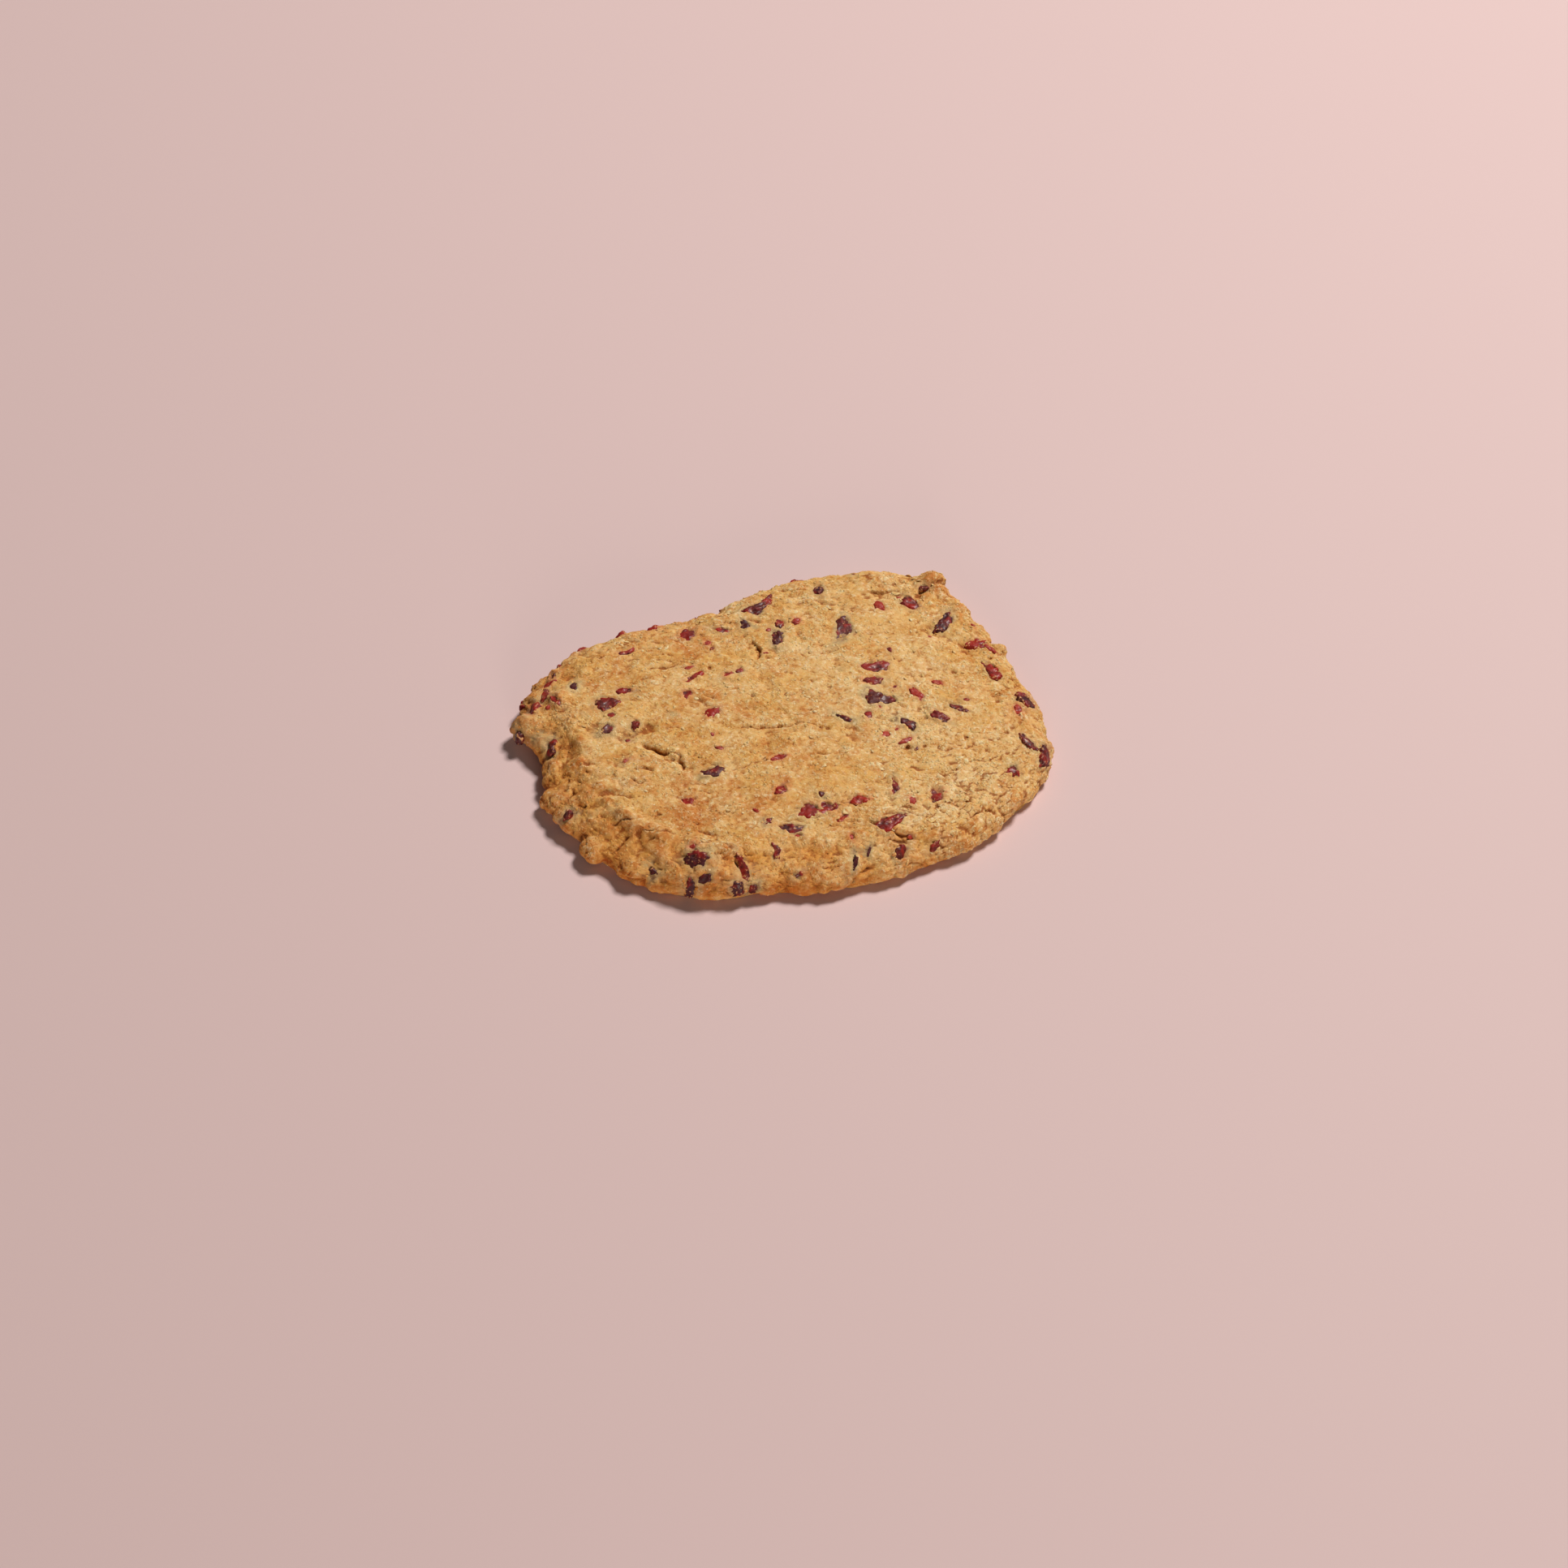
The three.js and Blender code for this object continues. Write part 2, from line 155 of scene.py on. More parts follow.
# Stretches that the oven coloured more, and less where negative: x, y, radius and how much
TOASTED = [
    (-33, -11, 8, 0.3), (-33, -22, 8, 0.36), (-21, -24, 8, 0.3), (-26, 9, 5, 0.22),
    (-11, -17, 9, 0.2), (-13, 37, 6, 0.25), (-4, 14, 7, 0.15), (21, 30, 4, 0.2),
    (-4, -11, 7, 0.16), (7, -17, 5, 0.16), (-36, 30, 9, 0.2), (-16, 16, 6, 0.18),
    (30, -46, 6, 0.3), (18, -47, 5, 0.3), (52, 10, 4, 0.25), (54, 32, 6, 0.2),
    (24, -9, 8, -0.25), (43, 14, 8, -0.22), (20, 8, 6, -0.25), (29, -37, 8, -0.35),
    (-13, -36, 6, -0.25), (14, -37, 6, -0.25), (42, 31, 6, -0.22), (34, 4, 8, -0.2),
    (-38, 17, 4, -0.25), (-44, 0, 5, -0.15), (52, -22, 6, -0.15), (14, 22, 6, -0.15),
    (53, -6.8, 1.6, 0.5), (55.5, -14.8, 1.6, 0.5), (48, 10, 2.2, 0.3), (46, -14, 1.8, 0.35),
    (16, -8, 5, 0.15), (37, -13, 5, -0.15), (30, 20, 5, 0.12), (12, 15, 6, -0.12), (40, -2, 4, 0.14),
]
# How far inside the rim the broken side's crest runs, how high it is, and the fall below it
CREST_INSET, CREST_RISE, CREST_FALL = 10.0, 0.85, 0.55

# Cranberry pieces: x, y, length, width, turn in degrees, tone from bright red (0) to nearly
# black (1), and how far the piece bends
BERRIES = [
    (8.7, 43.7, 9.4, 2.6, 6, 0.75, 0.3), (26.1, 44.4, 3.0, 2.0, 60, 0.85, 0.0),
    (-11.7, 39.8, 5.0, 3.4, 0, 0.4, 0.05), (-2.1, 38.3, 4.2, 1.5, -20, 0.85, 0.1),
    (3.6, 38.2, 3.0, 1.6, 70, 1.0, 0.0), (11.8, 35.7, 3.0, 2.0, 60, 0.45, 0.0),
    (9.5, 30.3, 6.2, 2.6, 60, 0.9, -0.1), (16.2, 34.7, 2.6, 1.8, 50, 0.12, 0.0),
    (26.5, 29.4, 9.0, 3.6, 65, 0.92, 0.16), (38.1, 33.1, 4.0, 1.6, -70, 0.2, 0.1),
    (46.3, 31.6, 4.6, 3.6, 70, 0.5, 0.0), (52.0, 35.8, 2.5, 1.2, 0, 0.7, 0.0),
    (51.1, 22.2, 9.0, 2.2, 32, 0.85, 0.12), (56.4, 12.6, 5.2, 3.4, -10, 0.15, 0.1),
    (58.8, 9.8, 4.0, 1.1, -60, 0.3, 0.1), (55.7, 1.9, 7.5, 3.0, -75, 0.5, 0.12),
    (28.8, 12.2, 6.4, 3.8, -15, 0.5, 0.05), (24.7, 7.7, 5.2, 2.4, -30, 0.5, 0.1),
    (24.1, 1.4, 7.2, 4.2, -20, 0.95, 0.2), (33.7, -0.6, 5.0, 1.8, -75, 0.2, 0.1),
    (40.6, 1.7, 2.5, 1.2, -40, 0.15, 0.0), (13.1, -2.5, 4.2, 1.2, -50, 1.0, 0.15),
    (19.1, -3.7, 2.5, 2.0, 70, 0.4, 0.0), (27.2, -9.7, 4.6, 2.3, -65, 1.0, -0.2),
    (35.7, -9.7, 4.8, 2.3, -60, 0.6, 0.15), (41.7, -8.7, 4.6, 1.5, -40, 0.8, 0.05),
    (20.6, -11.2, 2.6, 1.3, 20, 0.15, 0.0), (24.1, -10.4, 1.6, 1.0, 0, 0.1, 0.0),
    (24.2, -14.8, 3.0, 1.1, 15, 0.15, 0.1), (59.1, -10.2, 6.0, 3.0, -80, 0.45, 0.1),
    (55.2, -13.5, 4.0, 1.4, 80, 0.15, 0.1), (53.2, -24.2, 7.0, 1.5, -75, 0.75, 0.15),
    (55.5, -29.4, 7.0, 3.0, 58, 0.65, 0.1), (45.3, -32.5, 3.6, 2.6, 40, 0.8, 0.1),
    (23.9, -33.8, 3.8, 3.2, 45, 0.4, 0.05), (17.6, -33.8, 1.8, 1.5, 0, 0.05, 0.0),
    (15.4, -28.5, 5.0, 2.0, 60, 0.6, 0.05), (6.1, -29.7, 5.2, 2.0, -10, 0.3, 0.2),
    (-2.5, -29.3, 4.6, 2.7, 10, 0.5, 0.05), (-7.2, -28.5, 5.2, 4.0, 30, 0.6, 0.1),
    (-2.3, -24.8, 1.6, 1.2, 0, 1.0, 0.0), (-17.7, -28.5, 2.2, 1.8, 0, 0.8, 0.0),
    (-13.5, -32.6, 4.6, 2.6, -35, 0.75, 0.1), (-0.5, -33.4, 3.6, 1.5, 20, 0.15, 0.1),
    (9.6, -38.8, 9.6, 2.8, 12, 0.6, 0.12), (-19.5, -37.6, 3.6, 1.4, 75, 0.5, 0.1),
    (-2.7, -46.3, 3.2, 0.9, 65, 1.0, 0.1), (8.9, -47.5, 4.2, 2.4, 55, 0.8, 0.05),
    (18.3, -47.6, 3.0, 1.2, 40, 0.7, 0.1), (-16.3, -44.5, 2.2, 1.0, 0, 0.7, 0.0),
    (-37.9, -33.7, 5.2, 3.6, -20, 0.95, 0.1), (-41.7, -38.2, 5.2, 2.5, 45, 0.85, 0.3),
    (-37.9, -38.4, 3.2, 2.1, 0, 0.9, 0.0), (-28.9, -39.5, 7.0, 1.5, 80, 0.7, 0.25),
    (-31.2, -42.1, 4.0, 2.8, 30, 0.85, 0.0), (-48.5, -31.4, 2.2, 1.6, -60, 0.85, 0.0),
    (-33.5, -15.3, 2.6, 2.0, 30, 0.2, 0.0), (-23.6, -8.5, 6.2, 2.8, -10, 0.85, 0.1),
    (-19.5, -1.5, 2.2, 1.2, -20, 0.2, 0.0), (-7.3, -10.0, 4.2, 1.5, 0, 0.2, 0.1),
    (-11.2, -20.0, 4.6, 2.5, 15, 0.25, 0.05), (-16.9, 10.3, 4.2, 2.5, 10, 0.2, 0.05),
    (-19.9, 19.1, 3.0, 2.0, 60, 0.15, 0.0), (-15.9, 24.3, 5.0, 2.0, 10, 0.35, 0.05),
    (-8.0, 22.0, 3.2, 1.3, 15, 0.3, 0.0), (-33.5, 25.9, 4.2, 2.3, -10, 0.5, 0.05),
    (-39.4, 22.8, 6.2, 3.0, 0, 0.7, 0.1), (-39.7, 18.3, 2.8, 1.2, 0, 0.9, 0.0),
    (-42.5, 13.7, 3.2, 2.0, 30, 0.9, 0.1), (-35.6, 13.2, 2.6, 2.0, 60, 0.7, 0.0),
    (-28.2, 38.7, 4.6, 1.3, 0, 0.4, 0.35), (-44.6, 31.8, 3.2, 1.7, 55, 1.0, 0.0),
    (-48.3, 38.9, 3.2, 2.0, 40, 0.3, 0.0), (-50.4, 36.1, 4.6, 1.5, 10, 0.35, 0.1),
    (-50.6, 28.4, 4.0, 1.5, -70, 0.45, 0.1), (-56.6, 29.8, 5.0, 2.8, 50, 0.5, 0.1),
    (-52.4, 32.5, 3.6, 1.3, 55, 0.55, 0.1), (-60.9, 24.2, 4.0, 2.4, 80, 0.85, 0.0),
    (-56.9, 16.3, 4.6, 1.9, 65, 1.0, 0.1), (-60.5, -6.7, 4.0, 1.6, 0, 0.7, 0.0),
    (-37.8, -30.3, 1.6, 1.1, 0, 0.15, 0.0), (-27.7, -43.3, 2.2, 1.9, 0, 1.0, 0.0),
    (1.6, -44.9, 2.0, 0.7, 60, 1.0, 0.0),
]
BERRY_THICKNESS = 2.4  # at most
BERRY_PROUD = 0.18  # how far a piece's top stands over the crust
BERRY_SPREAD = 1.12, 1.34  # how much larger it is along and across, as dough covers its edges
# How finely a piece's ball is divided: the parts to an edge of a piece over a length
BERRY_PARTS = [(6.6, 12), (3.7, 9), (1.9, 6), (0.0, 4)]
# Pieces on the far wall: how many, the arc and the highest lean in degrees, their lengths
FAR_BERRIES, FAR_FROM, FAR_TO, FAR_LEAN = 9, 62, 150, 5
FAR_LENGTHS = 3.0, 6.5
# Pieces that show in the underside, and specks of cranberry anywhere on the top
UNDER_BERRIES, UNDER_LENGTHS = 16, (2.5, 6.5)
BERRY_BITS, BIT_LENGTHS = 26, (0.9, 2.0)

# Grey smudges where dark skin shows through: x, y, radius
SMUDGES = [
    (-5, 12.7, 1.6), (19, 14.2, 1.8), (-25.8, 13.2, 2.2), (47, -26.8, 2.0), (1.5, -44, 3.4),
    (28, 24, 2.6), (49, 18.5, 3.0), (52, 26, 2.2), (12, -3.5, 2.4), (-10.7, -43.9, 2.4),
    (-37, -36, 3.0), (28.5, 7, 2.2), (-46, 22, 2.4), (-47, -31, 3.4), (-50, 0, 2.6),
]

# Shapes for scattering: how many kinds of each, a crumb's sides, a flake's points round its
# edge, and its rings' share of the way out and thickness
SHAPE_KINDS = 6
LUMP_SIDES = (1.0, 0.85, 0.7)
FLAKE_SPOKES, FLAKE_RINGS = 9, ((0.55, 0.62), (0.9, 0.35))

# ---------------------------------------------------------------- repeatable unevenness

# Points divided by a size carry a pattern of about that size, and each pattern has its own seed.


def lattice(i, j, k, seed=SEED):
    wave = np.sin(i * 127.1 + j * 311.7 + k * 74.7 + seed) * 43758.5453
    return 2 * (wave - np.floor(wave)) - 1


def smoothstep(x, low, high):
    t = np.clip((x - low) / (high - low), 0, 1)
    return t * t * (3 - 2 * t)


def lerp(a, b, t):
    return a + (b - a) * t


def unevenness(points, seed=SEED):
    """A smooth field between -1 and 1, with one value per unit cell."""
    cell = np.floor(points)
    u, v, w = (smoothstep(points - cell, 0, 1)).T
    i, j, k = cell.T

    def edge(dj, dk):
        return lerp(lattice(i, j + dj, k + dk, seed), lattice(i + 1, j + dj, k + dk, seed), u)

    return lerp(lerp(edge(0, 0), edge(1, 0), v), lerp(edge(0, 1), edge(1, 1), v), w)


def cells(points, seed=SEED):
    """Distance to the nearest and second nearest cell point, and the nearest one's own draw
    and offset."""
    base = np.floor(points)
    nearest = np.full(len(points), np.inf)
    second = np.full(len(points), np.inf)
    draw = np.zeros(len(points))
    offset = np.zeros_like(points)
    for di in (-1, 0, 1):
        for dj in (-1, 0, 1):
            for dk in (-1, 0, 1):
                u, v, w = base[:, 0] + di, base[:, 1] + dj, base[:, 2] + dk
                shifts = (lattice(u, v, w, seed), lattice(v, w, u, seed), lattice(w, u, v, seed))
                centre = np.stack([u, v, w], 1) + 0.5 + 0.4 * np.stack(shifts, 1)
                away = points - centre
                gap = np.sqrt((away ** 2).sum(1))
                closer = gap < nearest
                second = np.where(closer, nearest, np.minimum(second, gap))
                nearest = np.where(closer, gap, nearest)
                draw = np.where(closer, shifts[0], draw)
                offset = np.where(closer[:, None], away, offset)
    return nearest, second, draw, offset


def clumpiness(points, seed=SEED):
    """Domes, one to a cell: 1 in the middle of each, falling to 0 and a sharp crease."""
    return 1 - np.minimum(1, 2 * cells(points, seed)[0] ** 2)


def warped(points, reach, spacing, seed):
    """The points, pushed about by up to reach, so that a pattern on them isn't regular."""
    push = [unevenness(points / spacing + 17.3 * axis, seed + axis) for axis in range(3)]
    return points + reach * np.stack(push, 1)


def along_flow(points, along, across):
    """The points in units of along and across, by the way that the dough flowed."""
    cos, sin = math.cos(FLOW), math.sin(FLOW)
    return np.stack([
        (points[:, 0] * cos + points[:, 1] * sin) / along,
        (points[:, 1] * cos - points[:, 0] * sin) / across,
        points[:, 2] / across,
    ], 1)


def seeded_draw(seed):
    """Draws between 0 and 1, the same each time for a seed."""
    state = seed

    def draw():
        nonlocal state
        state = (state * 1664525 + 1013904223) % 4294967296
        return state / 4294967296

    return draw


# ---------------------------------------------------------------- the crust


def rim_radius(angle):
    """The outline's radius, on a smooth curve through RIM_RADII."""
    count = len(RIM_RADII)
    place = (np.asarray(angle) / (2 * math.pi)) % 1 * count
    step = np.floor(place).astype(int)
    t = place - step
    a, b, c, d = (RIM_RADII[(step + k) % count] for k in (-1, 0, 1, 2))
    return b + 0.5 * t * (c - a + t * (2 * a - 5 * b + 4 * c - d + t * (3 * (b - c) + d - a)))


def round_the_rim(angle, thin, broken):
    """A value that goes from the thin side's to the broken side's."""
    return lerp(thin, broken, 0.5 + 0.5 * np.cos(angle - SLOPE_SIDE))


def shoulder_width(angle):
    return round_the_rim(angle, SHOULDER_THIN, SHOULDER_BROKEN)


def crest_height(angle):
    return round_the_rim(angle, CREST_THIN, CREST_THICK)


def ray_points(angle, radius, height):
    return np.stack([radius * np.cos(angle), radius * np.sin(angle), height], 1)


def wall_form(angle, lean):
    """The plain wall: lean runs from the floor, through 0 at the rim, to 90 degrees where the
    shoulder meets the top."""
    low = lean < 0
    bevel = np.where(low, 1, round_the_rim(angle, BEVEL_THIN, BEVEL_BROKEN))
    width = np.where(low, BASE_INSET, shoulder_width(angle))
    span = np.where(low, RIM_HEIGHT + TRIM, crest_height(angle) - RIM_HEIGHT)
    radius = rim_radius(angle) - width * (1 - np.clip(np.cos(lean), 0, 1) ** bevel)
    height = RIM_HEIGHT + span * np.sign(lean) * np.abs(np.sin(lean)) ** bevel
    return ray_points(angle, radius, height)


def top_form(angle, share):
    radius = share * (rim_radius(angle) - shoulder_width(angle))
    middle = (CREST_THIN + CREST_THICK) / 2 + CROWN_RISE
    return ray_points(angle, radius, lerp(middle, crest_height(angle), share ** 2))


def outward_at(angle, lean):
    return ray_points(angle, np.cos(lean), np.sin(lean))


def gap_to_segment(points, start, end):
    start, end = np.array(start, float), np.array(end, float)
    line = end - start
    t = np.clip(((points - start) @ line) / (line @ line), 0, 1)
    return np.linalg.norm(points - start - t[:, None] * line, axis=1)


def fold_height(points):
    """How high the folds lift the crust, or how deep the furrows sink it."""
    height = np.zeros(len(points))
    for x0, y0, x1, y1, half_width, rise in FOLDS:
        gap = gap_to_segment(points[:, :2], (x0, y0), (x1, y1))
        height += rise * (1 - smoothstep(gap, 0, half_width))
    return height


def knob_reach(points):
    """How far the knobs push the wall out."""
    reach = np.zeros(len(points))
    for turn, level, radius, proud in KNOBS:
        angle = math.radians(turn)
        rim = float(rim_radius(angle))
        middle = np.array([rim * math.cos(angle), rim * math.sin(angle), level])
        gap = np.linalg.norm(points - middle, axis=1)
        reach += proud * (1 - smoothstep(gap / radius, 0.2, 1))
    return reach


def held_at_floor(level):
    """What a push is multiplied by along x, y and z: near the floor it only goes sideways."""
    sideways = np.ones(len(level))
    return np.stack([sideways, sideways, smoothstep(level, 0, 1.5)], 1)


def large_relief(points, angle, wallness):
    """How far swells, clumps and coarse crumb raise the crust; wallness is 1 at the rim."""
    swell = unevenness(along_flow(points, SWELL_ALONG, SWELL_ACROSS))
    clump = clumpiness(points / CLUMP_SPACING) - 0.6
    crumb = lerp(0.55, 1, wallness) * unevenness(points / CRUMB_SPACING)
    wall_depth = round_the_rim(angle, WALL_CLUMP_THIN, WALL_CLUMP_BROKEN)
    clump_depth = CLUMP_DEPTH * lerp(1, wall_depth, wallness)
    return SWELL_DEPTH * swell + clump_depth * clump + CRUMB_DEPTH * crumb


def crust(angle, lean, share):
    """The crust with its large relief, on the wall at a lean or on the top at a share of the
    way out, and which way it faces."""
    on_top = share < 1
    plain = np.where(on_top[:, None], top_form(angle, share), wall_form(angle, lean))
    outward = np.where(on_top[:, None], UP, outward_at(angle, lean))
    wallness = np.where(on_top, 0, np.cos(lean))
    fold = np.where(on_top, 1, np.maximum(0, np.sin(lean))) * fold_height(plain)
    knob = np.where(on_top, 0, knob_reach(plain))
    out = large_relief(plain, angle, wallness) + knob + fold
    return plain + outward * held_at_floor(plain[:, 2]) * out[:, None], outward


def crust_at(x, y):
    """One place seen from above: the point on the crust and which way it faces."""
    angle = np.array([math.atan2(y, x)])
    inset = np.maximum(0, rim_radius(angle) - math.hypot(x, y))
    width = shoulder_width(angle)
    bevel = round_the_rim(angle, BEVEL_THIN, BEVEL_BROKEN)
    lean = np.arccos(np.clip(1 - inset / width, 0, 1) ** (1 / bevel))
    share = np.minimum(1, math.hypot(x, y) / (rim_radius(angle) - width))
    share = np.where(inset < width, 1.0, share * JUST_INSIDE)
    point, outward = crust(angle, lean, share)
    return point[0], outward[0]


# ---------------------------------------------------------------- meshes


def unit_ball(frequency):
    """A ball of even triangles: every edge of an icosahedron divided in frequency parts."""
    golden = (1 + math.sqrt(5)) / 2
    corners = np.array([
        (-1, golden, 0), (1, golden, 0), (-1, -golden, 0), (1, -golden, 0),
        (0, -1, golden), (0, 1, golden), (0, -1, -golden), (0, 1, -golden),
        (golden, 0, -1), (golden, 0, 1), (-golden, 0, -1), (-golden, 0, 1),
    ], float)
    sides = [
        (0, 11, 5), (0, 5, 1), (0, 1, 7), (0, 7, 10), (0, 10, 11), (1, 5, 9), (5, 11, 4),
        (11, 10, 2), (10, 7, 6), (7, 1, 8), (3, 9, 4), (3, 4, 2), (3, 2, 6), (3, 6, 8),
        (3, 8, 9), (4, 9, 5), (2, 4, 11), (6, 2, 10), (8, 6, 7), (9, 8, 1),
    ]
    rows = [(i, j) for i in range(frequency + 1) for j in range(frequency + 1 - i)]
    index = {place: n for n, place in enumerate(rows)}
    weights = np.array([(frequency - i - j, i, j) for i, j in rows], float) / frequency
    upright = [(index[i, j], index[i + 1, j], index[i, j + 1])
               for i in range(frequency) for j in range(frequency - i)]
    inverted = [(index[i + 1, j], index[i + 1, j + 1], index[i, j + 1])
                for i in range(frequency - 1) for j in range(frequency - 1 - i)]
    tile = np.array(upright + inverted)
    points = np.concatenate([weights @ corners[list(side)] for side in sides])
    triangles = np.concatenate([tile + n * len(rows) for n in range(len(sides))])
    _, first, back = np.unique(np.round(points, 7), axis=0, return_index=True, return_inverse=True)
    points = points[first]
    return points / np.linalg.norm(points, axis=1)[:, None], back.reshape(-1)[triangles]


def corner_normals(points, triangles):
    a, b, c = (points[triangles[:, k]] for k in range(3))
    facing = np.cross(b - a, c - a)
    total = np.zeros_like(points)
    for k in range(3):
        np.add.at(total, triangles[:, k], facing)
    return total / np.maximum(1e-12, np.linalg.norm(total, axis=1))[:, None]


def smoothed(points, triangles, rounds):
    """The points after each has moved to the middle of its neighbours, rounds times."""
    here = triangles.reshape(-1)
    there = triangles[:, [1, 2, 0]].reshape(-1)
    ends = np.concatenate([here, there]), np.concatenate([there, here])
    count = np.bincount(ends[0], minlength=len(points))[:, None]
    for _ in range(rounds):
        sums = [np.bincount(ends[0], points[ends[1], axis], len(points)) for axis in range(3)]
        points = 0.5 * points + 0.5 * np.stack(sums, 1) / count
    return points


def smooth_mesh(name, points, triangles):
    mesh = bpy.data.meshes.new(name)
    mesh.from_pydata(points.tolist(), [], triangles.tolist())
    mesh.polygons.foreach_set("use_smooth", np.ones(len(triangles), bool))
    return mesh


def make_piece(name, points, triangles, fields):
    """A mesh object with its fields, from places in millimetres round the rim's middle."""
    mesh = smooth_mesh(name, (points - MIDDLE) * MM, triangles)
    for field, values in fields.items():
        attribute = mesh.attributes.new(field, "FLOAT", "POINT")
        attribute.data.foreach_set("value", values.astype(np.float32))
    mesh.update()
    piece = bpy.data.objects.new(name, mesh)
    bpy.context.scene.collection.objects.link(piece)
    return piece


# ---------------------------------------------------------------- cranberries


class Berry:
    """One cranberry piece: where it lies, and its outline in its own plane."""

    def __init__(self, point, outward, length, width, turn, tone, bend, number):
        self.centre, self.outward = point, outward
        self.half = np.array([length, width]) * BERRY_SPREAD / 2
        self.tone, self.bend, self.number = tone, bend, number
        tilt = Vector(UP).rotation_difference(Vector(outward)).to_matrix()
        axes = np.array(tilt @ Matrix.Rotation(math.radians(turn), 3, "Z"))
        self.side, self.across = axes[:, 0], axes[:, 1]
        self.thickness = min(BERRY_THICKNESS, 0.9 + 0.45 * width)
        draws = lattice(np.arange(16), number, 3)
        corners = 5 + number % 2
        self.sides = [((k + 0.35 * draws[k]) * 2 * math.pi / corners, 0.86 + 0.2 * draws[k + 6])
                      for k in range(corners)]
        self.waves = [(2, 0.06, draws[12]), (7, 0.06, draws[13]), (12, 0.04, draws[14])]
        self.hollow = 0.15 + 0.25 * draws[3]
        self.cant = 0.18 * draws[4:6]

    def outline(self, turn):
        """How far out the edge lies at a turn round the middle: straight cuts, a little ragged."""
        edge = np.full_like(turn, 1.25)
        for facing, far in self.sides:
            edge = np.minimum(edge, far / np.maximum(np.cos(turn - facing), 0.35))
        for count, depth, phase in self.waves:
            edge = edge * (1 + depth * np.cos(count * turn + math.pi * phase))
        return edge

    def reach(self, points):
        """How far out points lie: 1 on the piece's edge, in its own plane."""
        away = points - self.centre
        u, v = away @ self.side / self.half[0], away @ self.across / self.half[1]
        v = v - self.bend * self.half[0] / self.half[1] * (u ** 2 - 0.4)
        turn = np.arctan2(v, u)
        return np.hypot(u, v) / self.outline(turn)

    def shell(self, frequency):
        """The piece's own closed mesh, how far each point is up a fold and out to the edge."""
        ball, triangles = unit_ball(frequency)
        turn = np.arctan2(ball[:, 1], ball[:, 0])
        radial = np.hypot(ball[:, 0], ball[:, 1])
        spread = radial ** 0.7 * self.outline(turn)
        u, v = spread * np.cos(turn), spread * np.sin(turn)
        rise = np.sign(ball[:, 2]) * np.abs(ball[:, 2]) ** 0.5
        hollowed = rise - np.where(ball[:, 2] > 0, self.hollow * (1 - radial ** 2), 0)
        canted = hollowed + self.cant[0] * u + self.cant[1] * v
        v = v + self.bend * self.half[0] / self.half[1] * (u ** 2 - 0.4)
        depth = self.thickness / 2
        middle = self.centre + self.outward * (BERRY_PROUD - depth)
        points = (middle + np.outer(u * self.half[0], self.side)
                  + np.outer(v * self.half[1], self.across) + np.outer(canted * depth, self.outward))
        normals = corner_normals(points, triangles)
        wrinkle = unevenness(warped(points, 0.5, 1.2, self.number) / 0.7, self.number)
        fold = 1 - 2 * np.abs(unevenness(warped(points, 0.8, 2, self.number) / 1.5, self.number + 5))
        grip = min(1, self.half[0] / 2)
        points = points + normals * (grip * (0.12 * wrinkle + 0.26 * fold))[:, None]
        return points, triangles, fold, smoothstep(radial, 0.55, 1.0)


def lay_berries():
    berries = []

    def lay(point, outward, *shape):
        berries.append(Berry(point, outward, *shape, number=len(berries)))

    for x, y, *shape in BERRIES:
        lay(*crust_at(x, y), *shape)
    draw = seeded_draw(SEED)
    for i in range(FAR_BERRIES):
        angle = math.radians(lerp(FAR_FROM, FAR_TO, (i + draw()) / FAR_BERRIES))
        lean = math.radians(FAR_LEAN * draw())
        length = lerp(*FAR_LENGTHS, draw())
        point, outward = crust(np.array([angle]), np.array([lean]), np.array([1.0]))
        lay(point[0], outward[0], length, length / 2, math.degrees(angle) + 90, draw(), 0.1)
    for i in range(UNDER_BERRIES):
        angle, share = 2.4 * i, 0.88 * math.sqrt((i + draw()) / UNDER_BERRIES)
        radius = share * (float(rim_radius(angle)) - BASE_INSET)
        length = lerp(*UNDER_LENGTHS, draw())
        point = np.array([radius * math.cos(angle), radius * math.sin(angle), 0.0])
        lay(point, -UP, length, length * lerp(0.35, 0.6, draw()), 360 * draw(), draw(), 0.1)
    for i in range(BERRY_BITS):
        angle, share = 2 * math.pi * draw(), math.sqrt(draw())
        radius = share * (float(rim_radius(angle)) - 3)
        length = lerp(*BIT_LENGTHS, draw())
        place = crust_at(radius * math.cos(angle), radius * math.sin(angle))
        lay(*place, length, length * lerp(0.4, 0.8, draw()), 360 * draw(), 0.6 * draw(), 0.1)
    return berries


def berry_frequency(berry):
    return next(parts for length, parts in BERRY_PARTS if 2 * berry.half[0] > length)


def build_cranberries(berries):
    shells, triangles = [], []
    fields = {name: [] for name in ("tone", "shade", "veil_and_glow", "rim")}
    count = 0
    for berry in berries:
        shell, faces, fold, rim = berry.shell(berry_frequency(berry))
        if berry.outward[2] < -0.9:
            shell[:, 2] = np.maximum(shell[:, 2], 0.0)
        shells.append(shell)
        triangles.append(faces + count)
        count += len(shell)
        drift = 0.6 * unevenness(shell / 1.7, berry.number + 9) + 0.3 * unevenness(shell / 0.8, 15)
        # The pale pink on narrow bright pieces is painted light shining through them; the small share on
        # every piece is dusting.
        thin = np.clip(1.4 - berry.half[1], 0, 0.5)
        values = {"tone": np.clip(berry.tone + drift - 0.3 * (fold - 0.2), 0, 1),
                  "shade": 0.5 + 0.5 * lattice(berry.number, 2, 7),
                  "veil_and_glow": 0.1 + thin * (1 - berry.tone), "rim": rim}
        for name, value in values.items():
            fields[name].append(np.broadcast_to(value, len(shell)))
    joined = {name: np.concatenate(values) for name, values in fields.items()}
    return make_piece("cranberries", np.concatenate(shells), np.concatenate(triangles), joined)


# ---------------------------------------------------------------- dough


